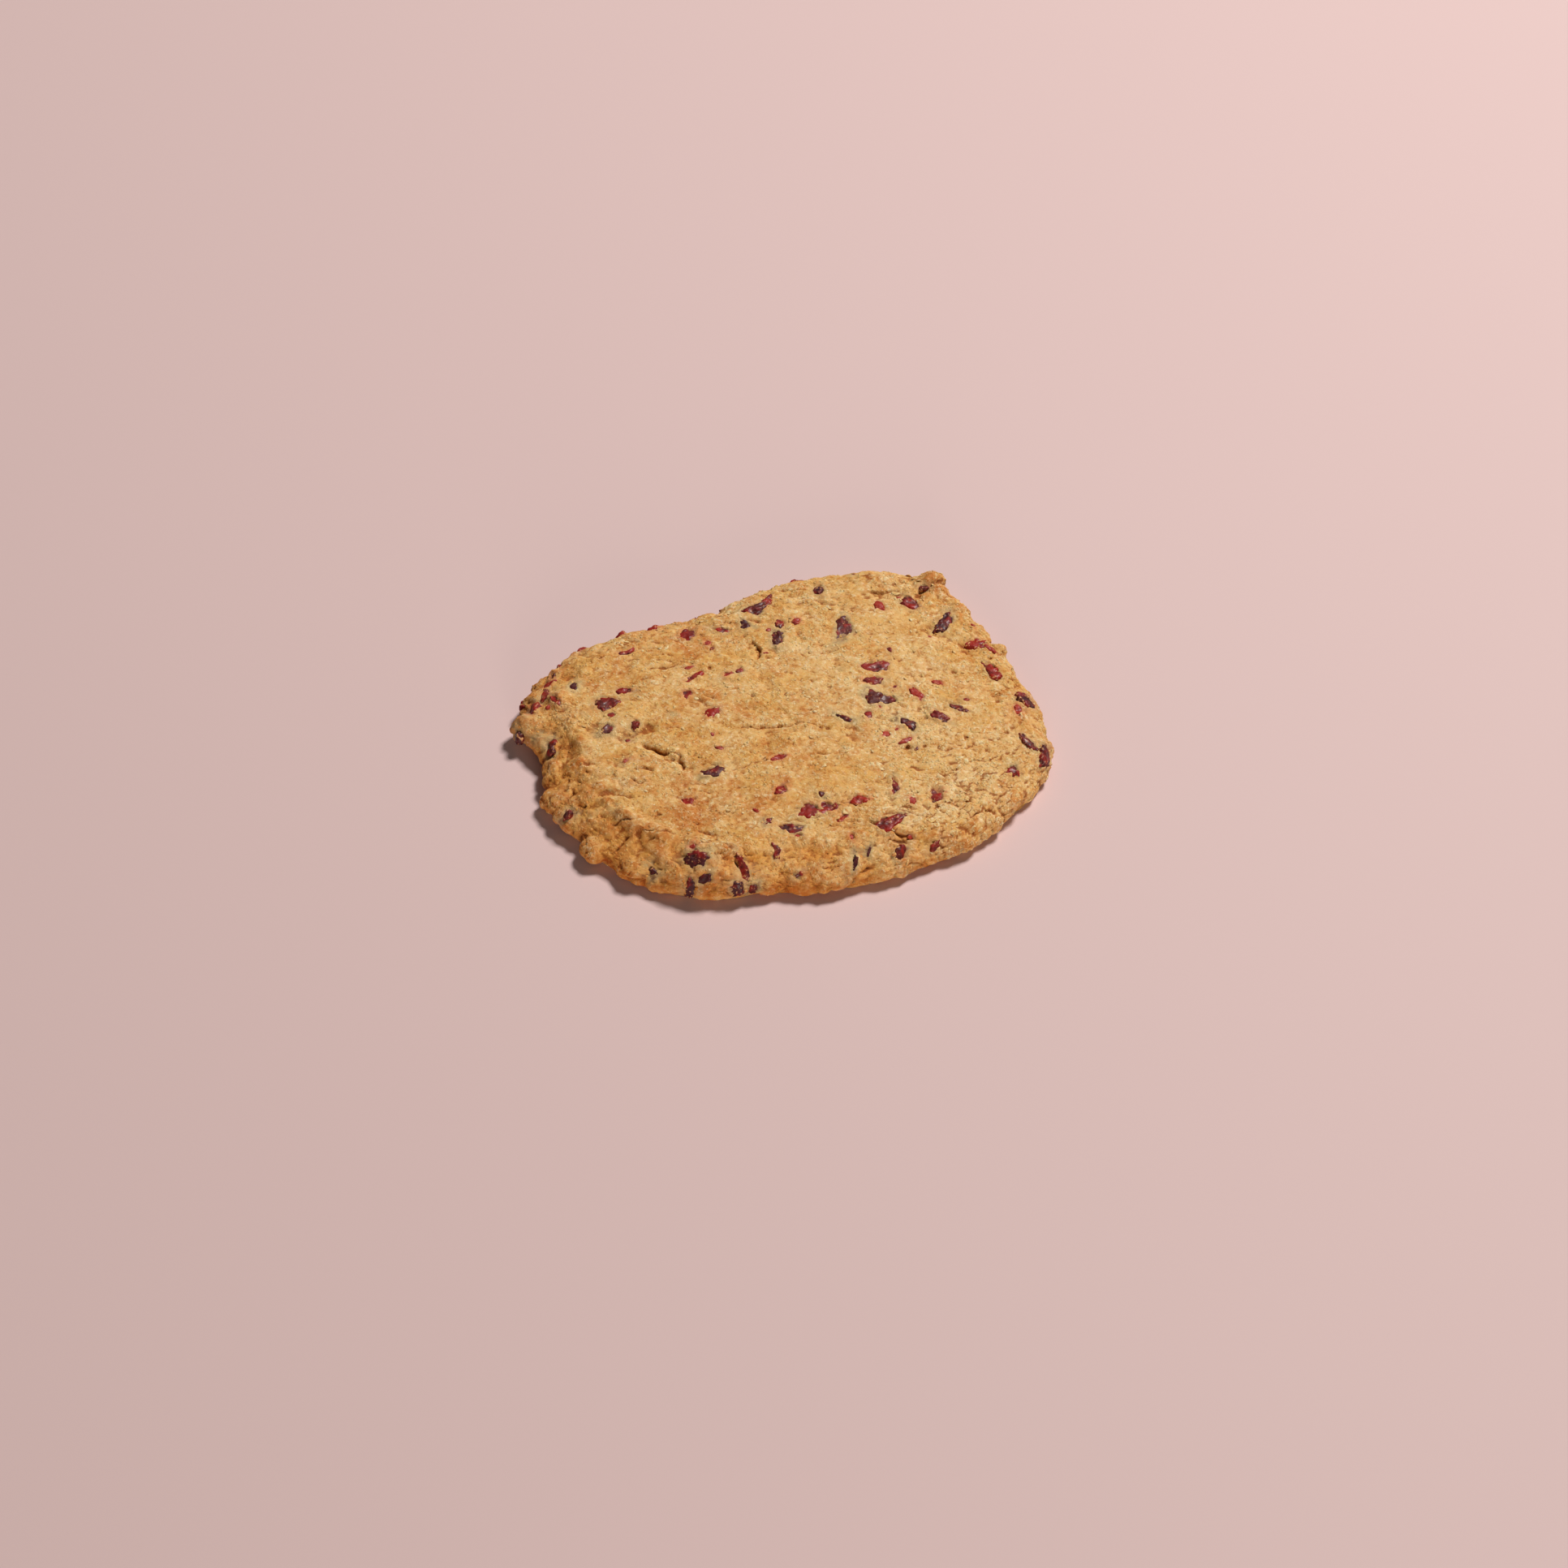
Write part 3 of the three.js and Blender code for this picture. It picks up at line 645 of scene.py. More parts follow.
def rim_inset(points):
    """How far inside the widest outline points lie, seen from above."""
    angle = np.arctan2(points[:, 1], points[:, 0])
    return rim_radius(angle) - np.hypot(points[:, 0], points[:, 1])


def spot(points, x, y, radius):
    """1 at a place seen from above, fading round it."""
    return np.exp(-((points[:, 0] - x) ** 2 + (points[:, 1] - y) ** 2) / radius ** 2)


def small_cracks():
    """Short cracks anywhere on the crust, most of them along the way that the dough flowed."""
    draw = seeded_draw(SEED + 1)
    cracks = []
    for _ in range(SMALL_CRACKS):
        angle, share = 2 * math.pi * draw(), draw() ** 0.4
        middle = share * float(rim_radius(angle)) * np.array([math.cos(angle), math.sin(angle)])
        heading = FLOW + math.radians(50) * (draw() + draw() - 1) + (share > 0.85) * 1.2 * draw()
        length = lerp(1.8, 6.5, draw() ** 2)
        step = 0.5 * length * np.array([math.cos(heading), math.sin(heading)])
        sway = 0.3 * length * (draw() - 0.5) * np.array([-math.sin(heading), math.cos(heading)])
        line = [middle - step, middle + sway, middle + step]
        cracks.append((lerp(0.24, 0.42, draw()), lerp(0.2, 0.6, draw()), line))
    return cracks


def crack_depth(points):
    """How deep the cracks cut at points, and how far the dough lifts beside them."""
    flat = warped(warped(points * [1, 1, 0], 0.7, 1.9, 71), 0.35, 0.8, 72)[:, :2]
    uneven = 0.75 + 0.5 * unevenness(points / 2.2, 73)
    depth = np.zeros(len(points))
    lift = np.zeros(len(points))
    for half_width, deepest, line in CRACKS + small_cracks():
        line = np.array(line, float)
        near = np.flatnonzero(((flat > line.min(0) - 5) & (flat < line.max(0) + 5)).all(1))
        if not len(near):
            continue
        gaps = [gap_to_segment(flat[near], a, b) for a, b in zip(line[:-1], line[1:])]
        gap = np.min(gaps, axis=0)
        ends = np.minimum(*(np.linalg.norm(flat[near] - end, axis=1) for end in line[[0, -1]]))
        shut = smoothstep(ends, 0, 1.5) * 0.6 + 0.4
        cut = 1.15 * deepest * uneven[near] * shut * np.exp(-(gap / (0.85 * half_width)) ** 2)
        depth[near] = np.maximum(depth[near], cut)
        lift[near] += 0.22 * deepest * np.exp(-((gap - 2.4 * half_width) / (2 * half_width)) ** 2)
    return depth, lift


def small_pits():
    """Small pits anywhere on the crust."""
    draw = seeded_draw(SEED + 2)
    pits = []
    for _ in range(SMALL_PITS):
        angle, share = 2 * math.pi * draw(), draw() ** 0.45
        radius = share * float(rim_radius(angle))
        pits.append((radius * math.cos(angle), radius * math.sin(angle),
                     lerp(0.22, 0.45, draw() ** 2), lerp(0.3, 0.7, draw())))
    return pits


def pit_depth(points):
    flat = warped(points, 0.35, 0.9, 75)[:, :2]
    depth = np.zeros(len(points))
    for x, y, radius, deepest in PITS + small_pits():
        near = np.flatnonzero(np.abs(flat - (x, y)).max(1) < 3 * radius)
        gap = np.linalg.norm(flat[near] - (x, y), axis=1) / radius
        depth[near] = np.maximum(depth[near], deepest * np.exp(-gap ** 4))
    return depth


class Ground:
    """The dough before its fine relief, and how far its points lie on each stretch of it, from
    0 to 1."""

    def __init__(self):
        ball, self.triangles = unit_ball(DOUGH_FREQUENCY)
        angle = np.arctan2(ball[:, 1], ball[:, 0])
        rise = (1 + ball[:, 2]) / 2
        wall_top = UNDER_SHARE + WALL_SHARE
        lean = lerp(LOWEST_LEAN, math.pi / 2, np.clip((rise - UNDER_SHARE) / WALL_SHARE, 0, 1))
        share = np.sqrt((1 - rise).clip(0) / (1 - wall_top)) * JUST_INSIDE
        points, _ = crust(angle, lean, np.where(rise < wall_top, 1.0, share))
        self.under = rise < UNDER_SHARE
        self.inward = np.sqrt(np.clip(rise / UNDER_SHARE, 0, 1))
        points[self.under, :2] *= self.inward[self.under, None]
        points[self.under, 2] = 0.0
        self.points, self.level = points, points[:, 2]
        self.normals = corner_normals(points, self.triangles)
        self.top_side = (self.normals[:, 2] > 0.1) | (self.level > RIM_HEIGHT)

        self.inset = rim_inset(points)
        self.near_rim = 1 - smoothstep(self.inset, 4, 20)
        self.crackled = spot(points, *CRACKLED)
        self.broken = round_the_rim(angle, 0, 1)
        self.wall = np.clip(1 - self.normals[:, 2], 0, 1) * (self.level > 0.2)
        # The broken wall and edge masks also bring painted warm shade, and extra toast that is partly
        # painted shade, into the dough's colour.
        self.broken_wall = self.wall * smoothstep(self.broken, 0.35, 0.8)
        self.broken_edge = smoothstep(self.broken, 0.5, 0.85) * (1 - smoothstep(self.inset, 6, 14))
        self.rough = np.clip(0.35 + 0.5 * self.near_rim + 0.3 * self.crackled
                             + 0.25 * unevenness(points / 13, 51), 0.15, 1.0)


def flaky_scales(ground):
    """Scales drawn out along the flow, each tipped its own way, with creases between them."""
    place = along_flow(warped(ground.points, 1.1, 2.6, 61), 3.6, 2.2)
    nearest, second, draw, offset = cells(place, 62)
    scale = smoothstep(second - nearest, 0.0, 0.3) - 0.8
    tipped = offset @ np.array([0.25, 0.7, 0.2]) * np.sign(draw) + 0.45 * draw
    return ground.rough * (0.16 * scale + 0.14 * tipped)


def crumbly_lumps(ground):
    """Domes with sharp creases between them, in two sizes."""
    large = clumpiness(warped(ground.points, 0.8, 2.1, 63) / 2.5, 64) - 0.6
    small = clumpiness(warped(ground.points, 0.35, 0.9, 60) / 1.25, 65) - 0.6
    return 0.36 * ground.rough * large + lerp(0.13, 0.2, ground.rough) * small


def terraces(ground):
    """Low steps along the flow."""
    steps = unevenness(along_flow(warped(ground.points, 1.5, 7, 65), 24, 4.5), 66)
    return 0.16 * (1 - 2 * np.abs(steps))


def wall_clumps(ground):
    """Clumps that the wall is broken into, and the clefts between some of them."""
    nearest, second, _, _ = cells(warped(ground.points, 1.2, 3.2, 68) / 4.8, 69)
    clump = lerp(0.55, 1.1, ground.broken) * (0.5 - np.minimum(1, 2 * nearest ** 2))
    parted = smoothstep(unevenness(ground.points / 6, 53), -0.5, 0.0) * lerp(0.5, 1, ground.broken)
    cleft = parted * (1 - smoothstep(second - nearest, 0.0, 0.13))
    return ground.wall * clump, ground.wall * cleft


def crackle_lines(ground):
    """Fine lines where the crust is crackled, most of them on the stretch at the front right."""
    nearest, second, _, _ = cells(warped(ground.points, 1.5, 2.6, 54) / 4.6, 55)
    share = ground.crackled + 0.4 * ground.near_rim + 0.8 * unevenness(ground.points / 5, 56)
    return smoothstep(share, 0.55, 0.85) * (1 - smoothstep(second - nearest, 0.01, 0.09))


def broken_crest(ground):
    """The ridge over the broken wall, and the fall below it."""
    ridge = np.exp(-((ground.inset - CREST_INSET) / 2.2) ** 2)
    uneven = 0.6 + 1.3 * unevenness(ground.points / 5, 57)
    fall = np.exp(-((ground.inset - CREST_INSET + 4) / 2.6) ** 2)
    return CREST_RISE * smoothstep(ground.broken, 0.4, 0.9) * (ridge * uneven - CREST_FALL * fall)


def toasted_tips(ground):
    tips = [rise * spot(ground.points, x, y, radius) for x, y, radius, rise in TIPS]
    return np.max(tips, axis=0) * (ground.level > 2)


class Relief:
    """The fine relief: its height over the ground, and the cuts and tips that take colour too."""

    def __init__(self, ground):
        clump, self.cleft = wall_clumps(ground)
        self.crackle = crackle_lines(ground)
        self.tip = toasted_tips(ground)
        self.crack, lift = crack_depth(ground.points)
        self.pit = pit_depth(ground.points)
        fineness = (1 - 0.72 * ground.broken_wall) * (1 - 0.1 * ground.crackled)
        self.height = (fineness * (flaky_scales(ground) + crumbly_lumps(ground)) + terraces(ground)
                       + clump + broken_crest(ground) + self.tip
                       - 0.7 * self.cleft - 0.2 * self.crackle)
        self.height += np.where(ground.top_side, lift - self.crack - self.pit, 0)


def seat_berries(ground, height, berries):
    """Presses each piece's seat into the height, with a lip round it and some dough over its
    edge. Returns how stained and how reddened the dough is."""
    stain = np.zeros(len(height))
    blush = np.zeros(len(height))
    for berry in berries:
        near = np.flatnonzero((np.abs(ground.points - berry.centre) < berry.half[0] + 4).all(1))
        if not len(near):
            continue
        here = ground.points[near]
        gap = (berry.reach(here) - 1) * berry.half.mean()
        outside = np.maximum(gap, 0)
        ragged = 0.16 * unevenness(here / 0.9, 77) + 0.12 * unevenness(here / 1.7, 78)
        seated = lerp(height[near], ragged - 0.45, smoothstep(gap, 0.4, -0.6))
        lip = (0.12 + 0.25 * unevenness(here / 1.5, 79)) * min(1, berry.half[1])
        cover = smoothstep(unevenness(here / 1.5, 84), 0.05, 0.4) * min(1, berry.half[1] / 1.4)
        cover *= np.exp(-((gap + 0.25) / 0.5) ** 2)
        height[near] = seated + lip * np.exp(-((gap - 0.5) / 0.5) ** 2) + 0.85 * cover
        halo = (0.2 + 0.8 * berry.tone) * np.exp(-outside / lerp(0.8, 1.7, berry.tone))
        stain[near] = np.maximum(stain[near], halo * (1 - 0.8 * cover))
        blush[near] = np.maximum(blush[near], (1 - berry.tone) * np.exp(-outside / 0.5))
    for x, y, radius in SMUDGES:
        stain = np.maximum(stain, 0.45 * spot(ground.points, x, y, radius) * ground.top_side)
    return stain, blush


def raised(ground, height):
    """The ground's points raised by the height, and shallow hollows in the underside."""
    push = ground.normals * held_at_floor(ground.level) * height[:, None]
    points = ground.points + np.where(ground.under[:, None], 0, push)
    hollow = (0.3 * unevenness(points / 5, 81) + 0.35 * unevenness(points / 2, 82)
              + 0.2 * unevenness(points / 1.1, 83))
    hollow = np.clip(hollow, 0, 1) * smoothstep(ground.inward, 1.0, 0.96)
    points[:, 2] = np.where(ground.under, hollow, np.maximum(points[:, 2], 0))
    return points


def oven_marks_and_painted_shade(ground, relief, points):
    """What the oven left at each point, how toasted and pale it is, and the painted shade it gets: dark
    crease shade in its dents and cuts, and warm shade in its hollows and on its broken side.
    """
    normals = corner_normals(points, ground.triangles)
    fine, broad = (((points - smoothed(points, ground.triangles, rounds)) * normals).sum(1)
                   for rounds in (8, 90))
    # Painted shade: dents in the surface, and the cracks, pits, crackle and clefts, are marked for the
    # crease shade colour.
    crease_shade = np.clip(-fine / 0.15, 0, 1) * 0.65 + np.clip(-broad / 0.55, 0, 1) * 0.35
    cut = np.where(ground.top_side, (relief.crack + relief.pit) / 0.4 + 0.9 * relief.crackle, 0)
    cut += 1.1 * relief.cleft
    crease_shade = np.maximum(crease_shade * (1 + 0.35 * ground.crackled), smoothstep(cut, 0.25, 1.0))
    proud = np.clip(fine / 0.2, 0, 1) * 0.3 + np.clip(broad / 0.6, 0, 1) * 0.7
    proud *= (0.35 + 0.65 * ground.near_rim) * smoothstep(ground.level, 1.5, 4)
    shifted = warped(points, 2.5, 5, 90)
    stretch = sum(more * spot(shifted, x, y, radius) for x, y, radius, more in TOASTED)
    # The broken wall and edge are made more toasted and less pale, partly as painted shade.
    toast = (0.26 + 0.12 * unevenness(points / 11, 91) + 0.24 * unevenness(points / 4.5, 92)
             + stretch + 0.34 * proud + 0.45 * relief.tip ** 2
             + 0.2 * ground.broken_wall + 0.12 * ground.broken_edge
             + 0.25 * smoothstep(ground.level, 2.0, 0.3) - 0.1 * ground.crackled)
    toast = np.where(ground.under, 0.62 + 0.3 * unevenness(points / 9, 93), toast)
    pale = (0.36 + 0.3 * unevenness(points / 5, 94) + 0.35 * unevenness(along_flow(points, 7, 2.5), 95)
            - 0.9 * np.minimum(stretch, 0.1) + 0.2 * ground.crackled - 0.3 * ground.broken_wall)
    # Painted warm shade: the share of the warm multiply, in hollows and over the broken wall and edge.
    hollow = -broad / 0.6 + 0.4 * ground.broken_wall + 0.8 * ground.broken_edge
    return {"toast": np.clip(toast, 0, 0.9), "pale": np.clip(pale, 0, 1),
            "crease_shade": np.clip(crease_shade, 0, 1), "hollow": np.clip(hollow, 0, 1)}


def build_dough(berries):
    ground = Ground()
    relief = Relief(ground)
    stain, blush = seat_berries(ground, relief.height, berries)
    points = raised(ground, relief.height)
    fields = oven_marks_and_painted_shade(ground, relief, points)
    fields["blush"] = np.clip(blush * (0.8 + 0.8 * unevenness(points / 1.2, 99)), 0, 1)
    fields["stain"] = np.clip(stain * (0.75 + 0.7 * unevenness(points / 1.9, 96)), 0, 1)
    crumbs = (0.45 + 0.2 * ground.near_rim + 0.3 * ground.crackled
              + 0.7 * unevenness(points / 7, 97) - 0.35 * ground.broken_wall)
    crumbs = np.clip(crumbs, 0.06, 1) * (ground.top_side | (ground.level > 1))
    fields["crumb_share"] = crumbs * (1 - stain) * (1 - fields["crease_shade"])
    flakes = 0.45 + 0.6 * unevenness(points / 12, 98) + 0.3 * ground.crackled - ground.broken_edge
    fields["flake_share"] = np.clip(flakes, 0, 1) * ground.top_side * (stain < 0.25)
    return make_piece("dough", points, ground.triangles, fields)


# ---------------------------------------------------------------- node trees


class Finish:
    """Short calls for building a node tree."""

    def __init__(self, tree):
        self.tree = tree

    def node(self, kind, inputs=None, **settings):
        made = self.tree.nodes.new(kind)
        for name, value in settings.items():
            setattr(made, name, value)
        for name, value in (inputs or {}).items():
            self.feed(made.inputs[name], value)
        return made

    def feed(self, socket, value):
        if isinstance(value, bpy.types.NodeSocket):
            self.tree.links.new(value, socket)
        else:
            socket.default_value = value

    def group(self, tree, inputs):
        return self.node("ShaderNodeGroup", inputs, node_tree=tree).outputs

    def place(self):
        return self.node("ShaderNodeTexCoord").outputs["Object"]

    def field(self, name):
        return self.node("ShaderNodeAttribute", attribute_name=name).outputs["Fac"]

    def maths(self, operation, a, b, clamp=False):
        return self.node("ShaderNodeMath", {0: a, 1: b}, operation=operation, use_clamp=clamp).outputs[0]

    def plus(self, a, b, clamp=False):
        return self.maths("ADD", a, b, clamp)

    def minus(self, a, b):
        return self.maths("SUBTRACT", a, b)

    def times(self, a, b):
        return self.maths("MULTIPLY", a, b)

    def larger(self, a, b, clamp=False):
        return self.maths("MAXIMUM", a, b, clamp)

    def vector(self, operation, inputs):
        return self.node("ShaderNodeVectorMath", inputs, operation=operation).outputs[0]

    def noise(self, place, size, detail=2.0, roughness=0.5, distortion=0.0):
        inputs = {"Vector": place, "Scale": 1 / size, "Detail": detail, "Roughness": roughness,
                  "Distortion": distortion}
        return self.node("ShaderNodeTexNoise", inputs).outputs["Fac"]

    def cell_pattern(self, place, scale, **settings):
        return self.node("ShaderNodeTexVoronoi", {"Vector": place, "Scale": scale}, **settings).outputs

    def between(self, value, low, high, to_low=0.0, to_high=1.0):
        inputs = {"Value": value, "From Min": low, "From Max": high, "To Min": to_low, "To Max": to_high}
        return self.node("ShaderNodeMapRange", inputs).outputs[0]

    def mix(self, share, a, b, blend="MIX"):
        inputs = {0: share, 6: a, 7: b}
        return self.node("ShaderNodeMix", inputs, data_type="RGBA", blend_type=blend).outputs[2]

    def bump(self, height, strength, distance):
        inputs = {"Strength": strength, "Distance": distance, "Height": height}
        return self.node("ShaderNodeBump", inputs).outputs[0]

    def dress(self, values):
        """Gives the material's own shader its values, plain or linked."""
        surface = self.tree.nodes["Principled BSDF"]
        for name, value in values.items():
            self.feed(surface.inputs[name], value)


# ---------------------------------------------------------------- what lies on the crust


def lump_shape(name, number):
    """A small closed lump, few faces, for scattering: about one unit across."""
    ball, triangles = unit_ball(1)
    swell = 1 + 0.4 * unevenness(ball * 1.4 + number * 3.1, 100 + number)
    points = 0.5 * ball * swell[:, None] * LUMP_SIDES
    return bpy.data.objects.new(name, smooth_mesh(name, points, triangles))


def flake_shape(name, number):
    """A rolled oat flake: a thin, slightly cupped oval with a split edge, one unit long."""
    here = np.arange(FLAKE_SPOKES)
    after = (here + 1) % FLAKE_SPOKES
    turn = here * 2 * math.pi / FLAKE_SPOKES
    edge = 1 + 0.16 * lattice(here, number, 5)
    points = []
    for side in (1, -1):
        for reach, thick in FLAKE_RINGS:
            u, v = reach * edge * np.cos(turn), reach * edge * np.sin(turn)
            cup = 0.22 * u ** 2 - 0.12 * v ** 2
            points.append(np.stack([0.5 * u, 0.36 * v, 0.5 * cup + side * 0.07 * thick], 1))
        points.append([(0.0, 0.0, side * 0.035)])
    half = 2 * FLAKE_SPOKES + 1
    centre = np.full(FLAKE_SPOKES, half - 1)
    edge_here, edge_after = here + FLAKE_SPOKES, after + FLAKE_SPOKES
    top = [(centre, here, after), (here, edge_here, edge_after), (here, edge_after, after)]
    lower = [(c + half, b + half, a + half) for a, b, c in top]
    rim = [(edge_here, edge_here + half, edge_after),
           (edge_after, edge_here + half, edge_after + half)]
    triangles = np.concatenate([np.stack(corners, 1) for corners in top + lower + rim])
    return bpy.data.objects.new(name, smooth_mesh(name, np.concatenate(points), triangles))


def scatter_tree():
    """Lays shapes from a collection on a surface: how many, how large, how deep they sit."""
    tree = bpy.data.node_groups.new("scatter_on_crust", "GeometryNodeTree")
    for name, kind in (("Surface", "Object"), ("Shapes", "Collection"), ("Share", "String"),
                       ("Per Square Metre", "Float"), ("Smallest", "Float"), ("Largest", "Float"),
                       ("Tilt", "Float"), ("Sink", "Float"), ("Seed", "Int"),
                       ("Material", "Material")):
        tree.interface.new_socket(name, in_out="INPUT", socket_type="NodeSocket" + kind)
    tree.interface.new_socket("Geometry", in_out="OUTPUT", socket_type="NodeSocketGeometry")
    make = Finish(tree)
    given = tree.nodes.new("NodeGroupInput").outputs

    def drawn(kind, slots, low, high, offset):
        inputs = {slots[0]: low, slots[1]: high, "Seed": make.plus(given["Seed"], float(offset))}
        return make.node("FunctionNodeRandomValue", inputs, data_type=kind).outputs

    surface = make.node("GeometryNodeObjectInfo", {"Object": given["Surface"]})
    share = make.node("GeometryNodeInputNamedAttribute", {"Name": given["Share"]})
    density = make.times(share.outputs["Attribute"], given["Per Square Metre"])
    spread = make.node("GeometryNodeDistributePointsOnFaces", {
        "Mesh": surface.outputs["Geometry"], "Density": density, "Seed": given["Seed"]}).outputs
    spin = drawn("FLOAT_VECTOR", (0, 1), (-1.0, -1.0, -math.pi), (1.0, 1.0, math.pi), 1)
    eased = make.node("ShaderNodeCombineXYZ", {"X": given["Tilt"], "Y": given["Tilt"], "Z": 1.0})
    turned = make.vector("MULTIPLY", {0: spin[0], 1: eased.outputs[0]})
    local = make.node("FunctionNodeEulerToRotation", {0: turned}).outputs[0]
    facing = make.node("FunctionNodeRotateRotation", {0: spread["Rotation"], 1: local},
                       rotation_space="LOCAL")
    size = drawn("FLOAT", (2, 3), given["Smallest"], given["Largest"], 2)[1]
    shapes = make.node("GeometryNodeCollectionInfo", {
        "Collection": given["Shapes"], "Separate Children": True, "Reset Children": True})
    down = make.times(size, given["Sink"])
    lowered = make.vector("SCALE", {0: spread["Normal"], "Scale": down})
    placed = make.node("GeometryNodeSetPosition", {"Geometry": spread["Points"], "Offset": lowered})
    laid = make.node("GeometryNodeInstanceOnPoints", {
        "Points": placed.outputs[0], "Instance": shapes.outputs[0], "Pick Instance": True,
        "Rotation": facing.outputs[0], "Scale": size})
    shade = make.node("GeometryNodeStoreNamedAttribute", {
        "Geometry": laid.outputs[0], "Name": "shade"}, data_type="FLOAT", domain="INSTANCE")
    make.feed(shade.inputs["Value"], drawn("FLOAT", (2, 3), 0.0, 1.0, 3)[1])
    whole = make.node("GeometryNodeRealizeInstances", {"Geometry": shade.outputs[0]})
    finished = make.node("GeometryNodeSetMaterial", {"Geometry": whole.outputs[0],
                                                     "Material": given["Material"]})
    make.feed(tree.nodes.new("NodeGroupOutput").inputs[0], finished.outputs[0])
    return tree


def scatter(name, tree, shapes, settings):
    """Runs the tree once and keeps its result as a plain mesh."""
    shelf = bpy.data.collections.new(name + "_shapes")
    for shape in shapes:
        shelf.objects.link(shape)
    carrier = bpy.data.objects.new(name, bpy.data.meshes.new(name))
    bpy.context.scene.collection.objects.link(carrier)
    modifier = carrier.modifiers.new("Scatter", "NODES")
    modifier.node_group = tree
    settings = {**settings, "Shapes": shelf}
    for item in tree.interface.items_tree:
        if item.in_out == "INPUT":
            modifier[item.identifier] = settings[item.name]
    depsgraph = bpy.context.evaluated_depsgraph_get()
    mesh = bpy.data.meshes.new_from_object(carrier.evaluated_get(depsgraph), depsgraph=depsgraph,
                                           preserve_all_data_layers=True)
    carrier.modifiers.clear()
    carrier.data = mesh
    for shape in shapes:
        bpy.data.objects.remove(shape)
    bpy.data.collections.remove(shelf)
    return carrier


def scatter_crumbs(dough, tree, material):
    return scatter("crumbs", tree, [lump_shape(f"crumb_{n}", n) for n in range(SHAPE_KINDS)], {
        "Surface": dough, "Share": "crumb_share", "Per Square Metre": 1.15e6,
        "Smallest": 0.4 * MM, "Largest": 1.2 * MM, "Tilt": 0.5, "Sink": -0.2, "Seed": 7,
        "Material": material})


def scatter_oats(dough, tree, material):
    return scatter("oat_flakes", tree, [flake_shape(f"oat_{n}", n) for n in range(SHAPE_KINDS)], {
        "Surface": dough, "Share": "flake_share", "Per Square Metre": 0.75e5,
        "Smallest": 1.3 * MM, "Largest": 3.1 * MM, "Tilt": 0.16, "Sink": -0.08, "Seed": 11,
        "Material": material})


# ---------------------------------------------------------------- materials


def linear(red, green, blue):
    """A colour as seen on screen, 0 to 255, in the renderer's own units."""
    shares = [c / 255 for c in (red, green, blue)]
    return [s / 12.92 if s <= 0.04045 else ((s + 0.055) / 1.055) ** 2.4 for s in shares] + [1.0]


# The crease shade colour is painted shade: the dark orange-brown that creases, cracks, pits and the gaps
# between crumbs are darkened to.
CREAM, BROWN, CREASE_SHADE_COLOUR = linear(246, 226, 184), linear(200, 126, 54), linear(150, 78, 18)
OVEN_AND_SHADE_COLOURS = {"Golden": linear(226, 180, 106), "Cream": CREAM, "Brown": BROWN,
                "Crease Shade Colour": CREASE_SHADE_COLOUR}
# Painted shade: a warm multiply laid on the grain's low parts, in hollows and over the broken side.
WARM_SHADE = linear(248, 216, 160)
HALO, PLUM_STAIN, BLUSH = linear(196, 170, 120), linear(128, 84, 76), linear(206, 112, 84)
BRIGHT_SKINS = linear(162, 31, 18), linear(140, 25, 22)
DARK_SKINS = linear(82, 27, 26), linear(55, 25, 33)
# The pale pink is partly dusting and partly painted light shining through thin bright cranberry pieces.
PINK_VEIL_AND_GLOW, DOUGH_ON_SKIN = linear(196, 88, 66), linear(218, 162, 108)
OAT_COLOURS = linear(244, 218, 166), linear(230, 190, 122)
BAKED = {"Specular IOR Level": 0.3, "Subsurface Weight": 0.2,
         "Subsurface Radius": (1.0, 0.45, 0.18), "Subsurface Scale": 0.9 * MM}
GRAIN_LEVEL = 0.78  # the grain's height where it neither rises nor falls


def new_group(name, inputs, outputs):
    tree = bpy.data.node_groups.new(name, "ShaderNodeTree")
    for sockets, way in ((inputs, "INPUT"), (outputs, "OUTPUT")):
        for socket, kind in sockets:
            tree.interface.new_socket(socket, in_out=way, socket_type="NodeSocket" + kind)
    given = tree.nodes.new("NodeGroupInput").outputs
    out = tree.nodes.new("NodeGroupOutput").inputs
    return Finish(tree), given, out


